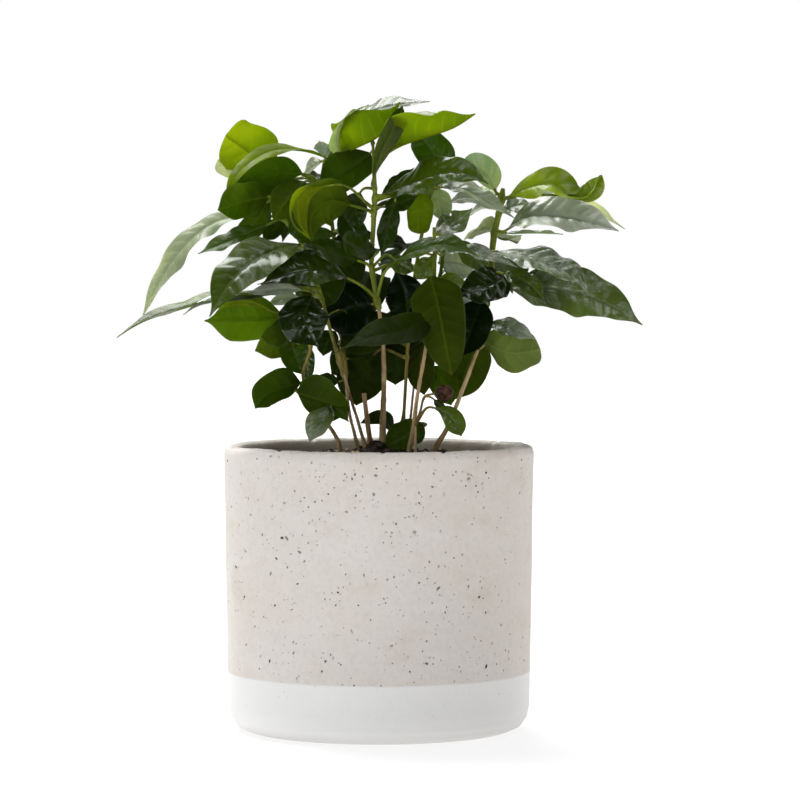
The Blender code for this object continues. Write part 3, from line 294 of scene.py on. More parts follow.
# small leaves between them, drawn in the same way
SMALL_LEAVES = [
    ("left_back", 270, 11, (-0.3, -0.4, 0.85), 8, 0, 0, "long", "misty",
     [(-18.5, 14, 279), (-20.5, -2, 286), (-16, -10, 296), (-5, -12, 302.5)]),
    ("left_front", 213, 7, (-0.1, -0.5, 0.85), 8, 0, 0, "long", "silver",
     [(-54, -18, 210.5), (-70, -23, 208.5), (-84, -28, 207.5), (-94.7, -30, 201)]),
    # a narrow pale leaf along the upper edge of the main stem's wide lime leaf, standing in for that edge
    # turned up: its pale tint is a painted highlight
    ("main", 270, 9, (0, -0.4, 0.9), 6, 0, 0, "long", "mist",
     [(9, -4, 296), (21, -8, 297), (37, -12, 297.5)]),
    ("left_back", 262, 14, (0, 0.9, 0.3), 4, 0, 0, "round", "mid",
     [(-46, 18, 267), (-52, 17, 259), (-54, 16, 249)]),
    ("left_front", 247, 12, (0, -0.9, 0.4), 4, 0, 0, "long", "mid",
     [(-43, -8, 248), (-37, -13, 242), (-29, -15, 234)]),
    ("left_back", 266, 17, (0.3, -0.8, 0.5), 8, 0, 0, "blunt", "mist",
     [(-60, 38, 268), (-69, 39, 271.5), (-78, 40, 275.5)]),
    ("left_back", 272, 22, (-0.15, -0.4, 0.95), 8, 0, 0, "long", "pale",
     [(-21, 24, 283), (-14, 18, 293), (0, 12, 300), (24.5, 8, 304)]),
    ("main", 262, 10, (0.4, -0.9, 0.1), 12, 0, 0, "ob", "olive",
     [(-3, -12, 266), (1, -17, 279), (7, -19, 291), (11.5, -18, 302)]),
    ("main", 252, 9, (0, 0.9, 0.3), 6, 0, 0, "long", "lime",
     [(-26, -19, 263), (-37, -21, 258), (-38.5, -22, 247), (-32.5, -21, 236.5)]),
    ("right_front", 232, 10, (0, -0.6, 0.8), 8, 0, 0, "long", "streaked",
     [(31, -14, 230), (42, -22, 232.5), (54, -27, 229), (67, -30, 224)]),
    ("right", 216, 12, (0, -0.7, 0.7), 8, 0, 0, "long", "milk",
     [(60, -8, 221), (70, -16, 217.5), (81, -20, 207)]),
    ("right", 192, 11, (0, -0.8, 0.6), 8, 0, 0, "long", "silver",
     [(53, -4, 197), (62, -11, 195), (76, -15, 189)]),
    ("left_low", 203, 7, (0, 0.93, 0.36), 6, 0, 0, "long", "bright",
     [(-53.5, -14, 203.5), (-62.5, -17, 208), (-71, -19, 207.5), (-79, -19, 202)]),
    ("left_back", 266, 8, (0, -0.5, 0.8), 6, 0, 0, "long", "silver",
     [(-26, 26, 266), (-30, 24, 268), (-34, 22, 265)]),
    ("main", 262, 12, (0, -0.9, 0.4), 6, 0, 0, "round", "dark",
     [(-9, 5, 260), (-11.5, 5, 253), (-9, 4, 243)]),
    ("main", 258, 9, (0, -0.7, 0.6), 6, 0, 0, "long", "dark",
     [(1, 1, 258.5), (9, -2, 264.5), (17, -3, 272)]),
    ("middle", 258, 11, (0, -0.9, 0.3), 6, 0, 0, "round", "misty",
     [(28, 20, 262), (30, 18, 254), (31, 16, 246)]),
    ("middle", 262, 8, (0, -0.6, 0.8), 8, 0, 0, "long", "white",
     [(27, 8, 262), (36, 6, 265), (50, 4, 262)]),
    ("inner_right", 254, 8, (0, -0.7, 0.6), 6, 0, 0, "long", "white",
     [(34, 20, 255), (42, 22, 257.5), (54, 24, 255)]),
    ("left_front", 245, 9, (0, 0.9, 0.3), 6, 0, 0, "round", "dark",
     [(-46, 2, 246), (-51, 2, 242), (-56, 2, 237.5)]),
    ("left_back", 240, 9, (0, -0.8, 0.5), 6, 0, 0, "long", "mid",
     [(-21, 13, 240), (-30, 8, 240), (-41, 6, 238)]),
    ("left_front", 209, 7, (0, -0.8, 0.5), 6, 0, 0, "long", "white",
     [(-38, 0, 209), (-45, 0, 208.5), (-54, 0, 206)]),
    ("middle", 224, 10, (0, -0.9, 0.3), 6, 0, 0, "round", "bright",
     [(26, 12, 228), (22, 12, 223.5), (18, 12, 218)]),
    ("inner_right", 217, 9, (0, -0.8, 0.4), 6, 0, 0, "round", "bright",
     [(29, 17, 218), (35, 16, 217), (42.5, 16, 214)]),
    ("right", 250, 12, (0, -0.6, 0.8), 6, 0, 0, "long", "pale",
     [(59, 22, 250), (66, 22, 253.5), (74, 22, 254)]),
    ("right", 257, 10, (-0.2, -1, 0.1), -8, -10, 0, "round", "bright",
     [(95, -3, 259), (102, -4, 260.5), (108, -5, 268)]),
    ("left_low", 186, 8, (0, -0.9, 0.3), 6, 0, 0, "round", "milk",
     [(-34, 4, 186), (-35, 3, 178), (-34, 2, 169)]),
    ("left_back", 190, 10, (0, -0.9, 0.3), 6, 0, 0, "round", "dark",
     [(-21, 10, 193), (-25, 6, 188), (-27, 3, 181)]),
    ("main", 224, 9, (0, -0.9, 0.3), 6, 0, 0, "round", "milk",
     [(6, 4, 229), (10, 3, 225.5), (17, 2, 222)]),
    ("left_back", 172, 7, (0, -0.8, 0.4), 6, 0, 0, "long", "dark",
     [(-19, 5, 168.5), (-25, 2, 169.5), (-31, 0, 170.5)]),
]

# half width from base to tip
PROFILE = {
    "long": ((0, 0.05, 0.12, 0.22, 0.35, 0.48, 0.6, 0.72, 0.82, 0.9, 0.95, 1),
             (0.04, 0.16, 0.42, 0.74, 0.96, 1, 0.93, 0.76, 0.5, 0.22, 0.09, 0.02)),
    "round": ((0, 0.05, 0.12, 0.22, 0.35, 0.5, 0.65, 0.78, 0.87, 0.93, 0.97, 1),
              (0.04, 0.28, 0.58, 0.85, 0.98, 1, 0.93, 0.76, 0.52, 0.28, 0.12, 0.02)),
    "blunt": ((0, 0.05, 0.12, 0.22, 0.35, 0.5, 0.65, 0.78, 0.88, 0.94, 0.98, 1),
              (0.04, 0.16, 0.4, 0.72, 0.95, 1, 0.95, 0.86, 0.8, 0.66, 0.4, 0.05)),
    "spade": ((0, 0.05, 0.12, 0.22, 0.35, 0.5, 0.65, 0.78, 0.88, 0.95, 1),
              (0.06, 0.42, 0.78, 1, 1, 0.93, 0.82, 0.66, 0.45, 0.2, 0.02)),
    "ob": ((0, 0.05, 0.12, 0.22, 0.35, 0.5, 0.65, 0.78, 0.87, 0.94, 0.97, 1),
           (0.04, 0.1, 0.22, 0.42, 0.7, 0.92, 1, 0.93, 0.7, 0.35, 0.15, 0.02)),
}

# outline of the foliage in the front view (x, z), and gaps in it (x, z, half width, half height)
DENSE = [(-76, 256), (-72, 262), (-60, 270), (-45, 275), (-40, 268), (-33, 263), (-26, 266), (-17, 274),
         (-5, 281), (-1, 270), (2, 264), (10, 268), (20, 272), (30, 276), (38, 277), (50, 268),
         (52, 264), (40, 260), (30, 258), (26, 254), (26, 241), (36, 240), (46, 232), (54, 229),
         (58, 229), (66, 234), (80, 229), (96, 221), (108, 219), (122, 207), (124, 200), (108, 201),
         (95, 202), (86, 207), (72, 211), (66, 211), (60, 209), (56, 204), (66, 194), (76, 190),
         (74, 184), (64, 178), (57, 181), (52, 184), (52, 172), (44, 163), (36, 160), (27, 162),
         (24, 168), (2, 174), (0, 166), (-6, 162), (-11, 160), (-16, 166), (-21, 172), (-22, 184),
         (-32, 186), (-36, 176), (-44, 180), (-48, 187), (-58, 188), (-70, 192), (-77, 198), (-77, 202),
         (-60, 208), (-50, 213), (-60, 215), (-68, 210), (-77, 212), (-79, 222), (-72, 228), (-75, 236),
         (-68, 240), (-64, 247), (-72, 248)]
SKY = [(-6, 261, 4.5, 6.5), (-12.5, 251.5, 3.5, 3), (-7, 226.5, 3.5, 2.2), (11.5, 246, 3.5, 9),
       (19, 221, 4.5, 3), (34, 216.5, 3.5, 3), (-51, 204, 5, 6)]

# leaves of the far side, which a seeded rule grows
BACK_SEED = 41
BACK_ORDER = ("main", "left_back", "left_front", "right", "middle", "inner_right", "right_front",
              "left_low")
BACK_TRIALS = 14
NODE_STEP = 10.0
BACK_LOWEST = 150.0
BACK_GAP = 3.2

WHITE = (1.0, 1.0, 1.0)
# pinholes of the pot: cells per metre, widest radius in a cell, share of the cells with a hole
PINHOLES = ((480.0, 0.19, 0.5), (300.0, 0.19, 0.6), (200.0, 0.17, 0.48), (140.0, 0.14, 0.34))
# distance of the side veins and height of the domes between them, in mm; QUILT by tint
VEIN_SPACING = 6.6
RIPPLE_SPACING = 5.4
USUAL_QUILT = 0.36
QUILT = {"ripple": 0.85, "gloss": 0.6, "milk": 0.6, "leafy": 0.75, "streaked": 0.8, "moss": 0.6,
         "silver": 0.7, "pale": 0.5, "white": 0.5, "palegreen": 0.4}


def at(x, y, z):
    """Place in the pot's frame of a point given as it is seen from the front."""
    k = 1 + y / EYE_FAR
    return np.array([EYE_X + (x - EYE_X) * k, y, EYE_Z + (z - EYE_Z) * k], float)


def seen(points):
    """Front view of points given in the pot's frame."""
    k = 1 + points[..., 1] / EYE_FAR
    return EYE_X + (points[..., 0] - EYE_X) / k, EYE_Z + (points[..., 2] - EYE_Z) / k


def unit(v):
    return v / np.linalg.norm(v, axis=-1, keepdims=True)


def through(xs, ys, slopes, x):
    """Smooth curve through a table of numbers or points, with the given slopes at them."""
    i = np.clip(np.searchsorted(xs, x, "right") - 1, 0, len(xs) - 2)
    h = xs[i + 1] - xs[i]
    t = (x - xs[i]) / h
    if ys.ndim > 1:
        h, t = h[:, None], t[:, None]
    return ((2 * t ** 3 - 3 * t ** 2 + 1) * ys[i] + (t ** 3 - 2 * t ** 2 + t) * h * slopes[i]
            + (3 * t ** 2 - 2 * t ** 3) * ys[i + 1] + (t ** 3 - t ** 2) * h * slopes[i + 1])


def smooth_line(points, t):
    """Points on the smooth line through the given ones, t from 0 to 1 by length."""
    p = np.asarray(points, float)
    reach = np.concatenate(([0], np.cumsum(np.linalg.norm(np.diff(p[:, :3], axis=0), axis=1))))
    reach /= reach[-1]
    d = np.diff(p, axis=0) / np.diff(reach)[:, None]
    m = np.vstack((d[:1], (d[1:] + d[:-1]) / 2, d[-1:]))
    if len(p) > 2:
        m[0] = 1.5 * d[0] - 0.5 * m[1]
        m[-1] = 1.5 * d[-1] - 0.5 * m[-2]
    return through(reach, p, m, t)


def smooth_value(xs, ys, x):
    """Smooth curve through a short table, with no overshoot at its crest."""
    xs, ys = np.array(xs, float), np.array(ys, float)
    d = np.diff(ys) / np.diff(xs)
    m = np.concatenate(([d[0]], (d[1:] + d[:-1]) / 2, [d[-1]]))
    m[1:-1] = np.where(d[1:] * d[:-1] <= 0, 0, m[1:-1])
    return through(xs, ys, m, x)


def twig_at(shoot, z):
    """Point on a twig's axis at a height of the front view."""
    q = smooth_line(TWIGS[shoot], np.linspace(0, 1, 200))
    return at(*q[int(np.argmin(np.abs(q[:, 2] - z))), :3])


def leaf_frame(points, face, twist, us):
    """Midrib points, sideways and upward directions at the blade positions us."""
    g = np.linspace(0, 1, MIDRIB_POINTS)
    c = smooth_line(points, g)
    along = unit(np.gradient(c, axis=0))
    up = np.zeros_like(c)
    k = MIDRIB_POINTS // 2
    f = np.asarray(face, float)
    up[k] = unit(f - (f @ along[k]) * along[k])
    for steps, back in ((range(k + 1, MIDRIB_POINTS), -1), (range(k - 1, -1, -1), 1)):
        for i in steps:
            v = up[i + back]
            up[i] = unit(v - (v @ along[i]) * along[i])
    a = np.radians(twist) * (g - 0.5)
    up = up * np.cos(a)[:, None] + np.cross(along, up) * np.sin(a)[:, None]
    c, side, up = [np.stack([np.interp(us, g, rows[:, j]) for j in range(3)], 1)
                   for rows in (c, np.cross(along, up), up)]
    return c, unit(side), unit(up)


def blade(leaf, us, ts):
    """Middle sheet of a leaf, with its midrib, upward directions and half width.

    us runs from base to tip, and ts from one margin to the other.
    """
    c, side, up = leaf_frame([at(*p) for p in leaf.midrib], leaf.face, leaf.twist, us)
    half = smooth_value(*PROFILE[leaf.outline], us) * leaf.width / 2
    a = math.radians(leaf.fold)
    b = math.radians(leaf.curl) + 1e-6
    m = np.abs(ts)
    x = np.sign(ts) * (np.sin(a + b * m) - math.sin(a)) / b
    y = (math.cos(a) - np.cos(a + b * m)) / b
    rows = half[:, None]
    sheet = c[:, None] + side[:, None] * (rows * x)[..., None] + up[:, None] * (rows * y)[..., None]
    return sheet, c, up, half


def covered(points):
    """True where every point is seen from the front within the foliage and off its gaps."""
    x, z = seen(points)
    inside = np.zeros(len(x), bool)
    for (x0, z0), (x1, z1) in zip(DENSE, DENSE[1:] + DENSE[:1]):
        if z1 != z0:
            inside ^= ((z0 > z) != (z1 > z)) & (x < (x1 - x0) * (z - z0) / (z1 - z0) + x0)
    for x0, z0, a, b in SKY:
        inside &= ((x - x0) / a) ** 2 + ((z - z0) / b) ** 2 > 1
    return inside.all()


def cloud(leaf):
    return blade(leaf, np.linspace(0.12, 1, 15), np.linspace(-1, 1, 7))[0].reshape(-1, 3)


def near(a, b, gap):
    if (a.min(0) > b.max(0) + gap).any() or (b.min(0) > a.max(0) + gap).any():
        return False
    return ((a[:, None] - b[None]) ** 2).sum(-1).min() < gap * gap


def back_leaf(shoot, z, p0, turn, trial, rnd):
    """One leaf of the far side at a node, or None where it would grow to the front."""
    heading = math.radians(turn + rnd.uniform(-34, 34))
    size = rnd.uniform(46, 82) - trial * 4
    rise = rnd.uniform(0.05, 0.5)
    sag = rnd.uniform(0.25, 0.75)
    roll = rnd.uniform(-0.5, 0.5)
    wide = size * rnd.uniform(0.38, 0.46)
    way = np.array([math.cos(heading), math.sin(heading), 0])
    if way[1] < 0.12:
        return None
    pts = []
    for f in (0, 0.33, 0.66, 1):
        q = p0 + way * (6 + size * f * (1 - 0.18 * f * sag))
        q[2] += 6 * rise + size * (rise * f - sag * f * f)
        x, z1 = seen(q)
        pts.append((float(x), float(q[1]), float(z1)))
    return Leaf(shoot, z, wide, (-way[1] * roll, way[0] * roll, 1.0), 9, -10, 0, "long", "back", pts)


def back_leaves():
    """Opposite pairs up each shoot on its far side, where they neither touch nor show in a gap."""
    rnd = random.Random(BACK_SEED)
    kept = []
    taken = [cloud(Leaf(*row)) for row in LEAVES]
    for pts in list(STEMS.values()) + list(TWIGS.values()):
        taken.append(np.array([at(*p[:3]) for p in smooth_line(pts, np.linspace(0, 1, 40))]))
    for shoot in BACK_ORDER:
        heights = [p[2] for p in TWIGS[shoot]]
        low = heights[0] + 6
        high = max(heights) - 3
        nodes = max(2, int((high - low) / NODE_STEP))
        turn = rnd.uniform(0, 90)
        for k in range(nodes + 1):
            z = low + (high - low) * k / nodes
            p0 = twig_at(shoot, z)
            for half in (0, 180):
                for trial in range(BACK_TRIALS):
                    leaf = back_leaf(shoot, z, p0, turn + 90 * k + half, trial, rnd)
                    if leaf is None:
                        continue
                    c = cloud(leaf)
                    if not covered(c) or c[:, 2].min() < BACK_LOWEST:
                        continue
                    if not any(near(c, other, BACK_GAP) for other in taken):
                        kept.append(leaf)
                        taken.append(c)
                        break
    return kept


# materials

class Graph:
    """Nodes of a material or of the world; an input takes the output of another node, or a value."""

    def __init__(self, owner):
        owner.use_nodes = True
        self.tree = owner.node_tree

    def put(self, socket, value):
        if isinstance(value, bpy.types.NodeSocket):
            self.tree.links.new(value, socket)
        else:
            socket.default_value = (*value, 1.0) if socket.type == "RGBA" else value

    def fill(self, node, **values):
        """Keys that start with a capital name inputs, with _ for a space, and the others properties."""
        for key, value in values.items():
            if key[0].isupper():
                self.put(node.inputs[key.replace("_", " ")], value)
            else:
                setattr(node, key, value)
        return node

    def add(self, kind, *inputs, **values):
        node = self.fill(self.tree.nodes.new("ShaderNode" + kind), **values)
        for socket, value in zip(node.inputs, inputs):
            self.put(socket, value)
        return node

    def math(self, operation, *inputs):
        return self.add("Math", *inputs, operation=operation).outputs[0]

    def times(self, a, b):
        return self.math("MULTIPLY", a, b)

    def ramp(self, value, *span):
        """Smooth step between two values, and if given, the two results at them instead of 0 and 1."""
        return self.add("MapRange", value, *span, interpolation_type="SMOOTHSTEP").outputs[0]

    def mix(self, share, a, b):
        node = self.add("Mix", share, data_type="RGBA")
        self.put(node.inputs[6], a)
        self.put(node.inputs[7], b)
        return node.outputs[2]

    def over(self, colour, *layers):
        """A colour under layers, each given as its share and colour."""
        for share, layer in layers:
            colour = self.mix(share, colour, layer)
        return colour

    def place(self):
        return self.add("TexCoord").outputs["Object"]

    def split(self, vector):
        return self.add("SeparateXYZ", vector).outputs

    def noise(self, scale, detail=3.0, rough=0.55, stretch=None, where=None):
        """Noise in the pot's frame if no other place is given; the scale is in lumps per metre."""
        if where is None:
            where = self.place()
        if stretch:
            where = self.add("Mapping", Scale=stretch, Vector=where).outputs[0]
        return self.add("TexNoise", Scale=scale, Detail=detail, Roughness=rough, Vector=where).outputs["Fac"]

    def bump(self, height, distance, strength, under=None):
        node = self.add("Bump", Height=height, Distance=distance, Strength=strength)
        if under is not None:
            self.put(node.inputs["Normal"], under)
        return node.outputs[0]


def new_material(name):
    mat = bpy.data.materials.new(name)
    graph = Graph(mat)
    return mat, graph, graph.tree.nodes["Principled BSDF"]


def toned(colour, factor, more=0.0, most=1.0):
    return tuple(min(most, c * factor + more) for c in colour)


def leaf_material(name, colour, vein, glow, share, rough, coat, shine, lower, painted_highlights=0.0, start=0.5,
                  painted_sheen=0.0):
    """Leaf skin: veins from the blade's own measures, mottled green, light coming through; painted shade
    towards the stalk, a painted light rim at the margin, and on some tints painted highlights and sheen.
    """
    mat, g, skin = new_material(name)
    s, v, _ = g.split(g.add("UVMap", uv_map="veins").outputs["UV"])
    out_mm, along_mm, _ = g.split(g.add("UVMap", uv_map="size").outputs["UV"])
    f = g.math("FRACT", s)
    m = g.math("ABSOLUTE", v)
    off_vein = g.math("MINIMUM", f, g.math("SUBTRACT", 1.0, f))
    side_vein = g.ramp(off_vein, 0.02, 0.1 if lower else 0.2, 1.0, 0.0)
    side_vein = g.times(side_vein, g.ramp(m, 0.55, 0.96, 1.0, 0.0))
    rib = g.ramp(g.math("ABSOLUTE", out_mm), 0.35, 0.85, 1.0, 0.0)
    mottle = g.noise(90.0, 4.0, 0.6)
    broad = g.noise(22.0, 2.0, 0.5)
    light = toned(colour, 1.35)
    # darker towards the stalk: painted shade; lighter at the margin: painted light coming through the thin
    # edge; broad darker and lighter blotches: the green's own mottling, partly also painted shade of other
    # leaves
    green = g.over(g.mix(g.ramp(broad, 0.34, 0.66), toned(colour, 0.5), light),
                   (g.ramp(along_mm, 0.0, 15.0, 0.5, 0.0), toned(colour, 0.3)),
                   (g.times(mottle, 0.25), light),
                   (g.times(side_vein, 0.24 if lower else 0.2), vein),
                   (g.times(rib, 0.7), vein),
                   (g.times(g.ramp(m, 0.93, 0.99), 0.4), toned(colour, 1.6, 0.07, 0.6)))
    # painted sheen: the top side turns pale grey-green away from the stalk, as if reflecting the room
    if painted_sheen:
        green = g.mix(g.times(g.ramp(along_mm, 8.0, 30.0), painted_sheen), green, (0.54, 0.59, 0.45))
    if painted_highlights:
        # painted highlights: light caught on the crowns between the side veins, painted as pale patches into
        # the colour
        crown = g.times(g.ramp(f, 0.1, 0.3), g.ramp(f, 0.9, 0.55))
        z = g.split(g.place())["Z"]
        spot = g.add("CombineXYZ", s, g.times(v, 1.3), g.times(z, 14.0)).outputs[0]
        caught = g.ramp(g.noise(1.15, 3.0, 0.6, where=spot), start, start + 0.14)
        caught = g.times(caught, g.ramp(crown, 0.0, 1.0, 0.5, 1.0))
        caught = g.times(caught, g.ramp(g.noise(900.0, 2.0, 0.6), 0.4, 0.58, 0.3, 1.0))
        green = g.mix(g.times(caught, painted_highlights), green, (0.5, 0.55, 0.46))
    cells = g.add("TexVoronoi", feature="DISTANCE_TO_EDGE", Scale=520.0, Vector=g.place())
    fine = g.bump(g.math("MINIMUM", cells.outputs["Distance"], 0.12), 0.0005, 0.3 if lower else 0.2)
    lift = g.math("ADD", g.times(side_vein, 1.0 if lower else -0.6), mottle)
    g.fill(skin, Base_Color=green, Roughness=g.math("MULTIPLY_ADD", mottle, 0.16, rough - 0.08),
           Specular_IOR_Level=shine, Coat_Weight=coat, Coat_Roughness=0.09, Coat_Normal=fine,
           Normal=g.bump(lift, 0.0004, 0.32, fine))
    # light through the blade deeper in broad blotches: partly an uneven blade, partly painted shade of the
    # leaves above
    deep = tuple(c * k for c, k in zip(glow, (0.55, 0.68, 1.0)))
    lit = g.over(g.mix(g.ramp(broad, 0.35, 0.7), deep, glow),
                 (g.times(side_vein, 0.14), toned(glow, 1.35)),
                 (g.times(rib, 0.6), toned(glow, 0.45)))
    sheer = g.add("BsdfTranslucent", Color=lit)
    both = g.add("MixShader", share, skin.outputs[0], sheer.outputs[0])
    g.fill(g.tree.nodes["Material Output"], Surface=both.outputs[0])
    return mat


# tint: top side, veins on it, underside, light through the blade;
# the share of that light, roughness, coat, shine, painted highlight patches on the top side, the noise
# from which they show, and how much painted pale sheen it takes on away from the stalk.
# The tints are lit and shaded copies of one leaf skin: shade and black are painted shade deep in the
# crown, dark partly so; bright and fresh are painted light; the pale tops of white, mist, misty, pale,
# silver, streaked, milk and moss are painted sheen, the room reflected on leaves seen aslant, over their
# own green.
TINTS = {
    "lime": ((0.16, 0.22, 0.003), (0.3, 0.38, 0.03), (0.18, 0.235, 0.004), (0.58, 0.67, 0.002),
             0.6, 0.36, 0.2, 0.3, 0.2, 0.56, 0),
    "bright": ((0.29, 0.39, 0.01), (0.28, 0.38, 0.03), (0.13, 0.18, 0.003), (0.46, 0.56, 0.002),
               0.45, 0.3, 0.35, 0.15, 0.6, 0.49, 0),
    "mid": ((0.05, 0.09, 0.001), (0.1, 0.16, 0.02), (0.08, 0.13, 0.002), (0.26, 0.4, 0.002),
            0.46, 0.34, 0.15, 0.12, 0.25, 0.58, 0),
    "olive": ((0.06, 0.085, 0.0012), (0.1, 0.14, 0.02), (0.065, 0.092, 0.002), (0.22, 0.32, 0.002),
              0.42, 0.4, 0.1, 0.2, 0.0, 0.5, 0),
    "dark": ((0.024, 0.048, 0.0008), (0.06, 0.095, 0.012), (0.04, 0.07, 0.0015), (0.16, 0.28, 0.002),
             0.38, 0.32, 0.25, 0.15, 0.15, 0.56, 0),
    "black": ((0.004, 0.015, 0.0005), (0.008, 0.026, 0.002), (0.01, 0.022, 0.001), (0.03, 0.06, 0.001),
              0.2, 0.4, 0.1, 0.06, 0.04, 0.56, 0),
    "leafy": ((0.055, 0.095, 0.001), (0.11, 0.17, 0.02), (0.06, 0.1, 0.002), (0.2, 0.32, 0.002),
              0.36, 0.28, 0.45, 0.15, 0.4, 0.56, 0),
    "gloss": ((0.028, 0.056, 0.001), (0.06, 0.11, 0.015), (0.04, 0.07, 0.002), (0.12, 0.23, 0.002),
              0.3, 0.27, 0.7, 0.12, 0.25, 0.54, 0),
    "milk": ((0.09, 0.145, 0.014), (0.14, 0.2, 0.04), (0.06, 0.09, 0.01), (0.14, 0.24, 0.01),
             0.3, 0.28, 0.45, 0.15, 0.4, 0.54, 0),
    "moss": ((0.12, 0.17, 0.03), (0.19, 0.24, 0.09), (0.08, 0.12, 0.015), (0.2, 0.3, 0.02),
             0.35, 0.3, 0.5, 0.2, 0.4, 0.44, 0),
    "fresh": ((0.24, 0.33, 0.006), (0.28, 0.38, 0.03), (0.13, 0.18, 0.003), (0.46, 0.56, 0.002),
              0.5, 0.45, 0.05, 0.08, 0.6, 0.52, 0),
    "streaked": ((0.13, 0.18, 0.06), (0.18, 0.23, 0.1), (0.06, 0.09, 0.01), (0.14, 0.24, 0.01),
                 0.25, 0.28, 0.5, 0.15, 0.85, 0.4, 0),
    "ripple": ((0.009, 0.022, 0.0008), (0.03, 0.055, 0.01), (0.03, 0.05, 0.002), (0.07, 0.14, 0.002),
               0.2, 0.26, 0.7, 0.15, 0.2, 0.54, 0),
    "silver": ((0.1, 0.14, 0.035), (0.07, 0.1, 0.03), (0.1, 0.14, 0.04), (0.2, 0.28, 0.04),
               0.2, 0.3, 0.5, 0.3, 0.6, 0.47, 0.85),
    "pale": ((0.17, 0.21, 0.11), (0.24, 0.3, 0.16), (0.24, 0.3, 0.14), (0.42, 0.52, 0.18),
             0.35, 0.3, 0.4, 0.3, 0.55, 0.46, 0),
    "white": ((0.54, 0.59, 0.42), (0.52, 0.57, 0.42), (0.42, 0.47, 0.3), (0.58, 0.64, 0.4),
              0.38, 0.32, 0.4, 0.3, 0.1, 0.5, 0),
    "mist": ((0.6, 0.62, 0.32), (0.56, 0.6, 0.4), (0.46, 0.54, 0.2), (0.9, 0.93, 0.5),
             0.5, 0.32, 0.3, 0.3, 0.3, 0.5, 0),
    "misty": ((0.45, 0.54, 0.22), (0.52, 0.6, 0.3), (0.4, 0.48, 0.22), (0.8, 0.9, 0.35),
              0.45, 0.32, 0.3, 0.3, 0.8, 0.46, 0),
    "palegreen": ((0.14, 0.19, 0.045), (0.22, 0.29, 0.1), (0.17, 0.22, 0.05), (0.36, 0.44, 0.07),
                  0.42, 0.36, 0.15, 0.3, 0.1, 0.5, 0),
    "shade": ((0.026, 0.045, 0.0008), (0.04, 0.064, 0.008), (0.038, 0.058, 0.001), (0.14, 0.21, 0.001),
              0.3, 0.44, 0.0, 0.08, 0.0, 0.5, 0),
    "dull": ((0.035, 0.05, 0.004), (0.07, 0.095, 0.02), (0.06, 0.08, 0.01), (0.12, 0.17, 0.004),
             0.3, 0.44, 0.05, 0.25, 0.0, 0.5, 0),
    "back": ((0.016, 0.03, 0.001), (0.03, 0.055, 0.008), (0.028, 0.05, 0.0015), (0.09, 0.16, 0.002),
             0.32, 0.42, 0.0, 0.1, 0.0, 0.5, 0),
}


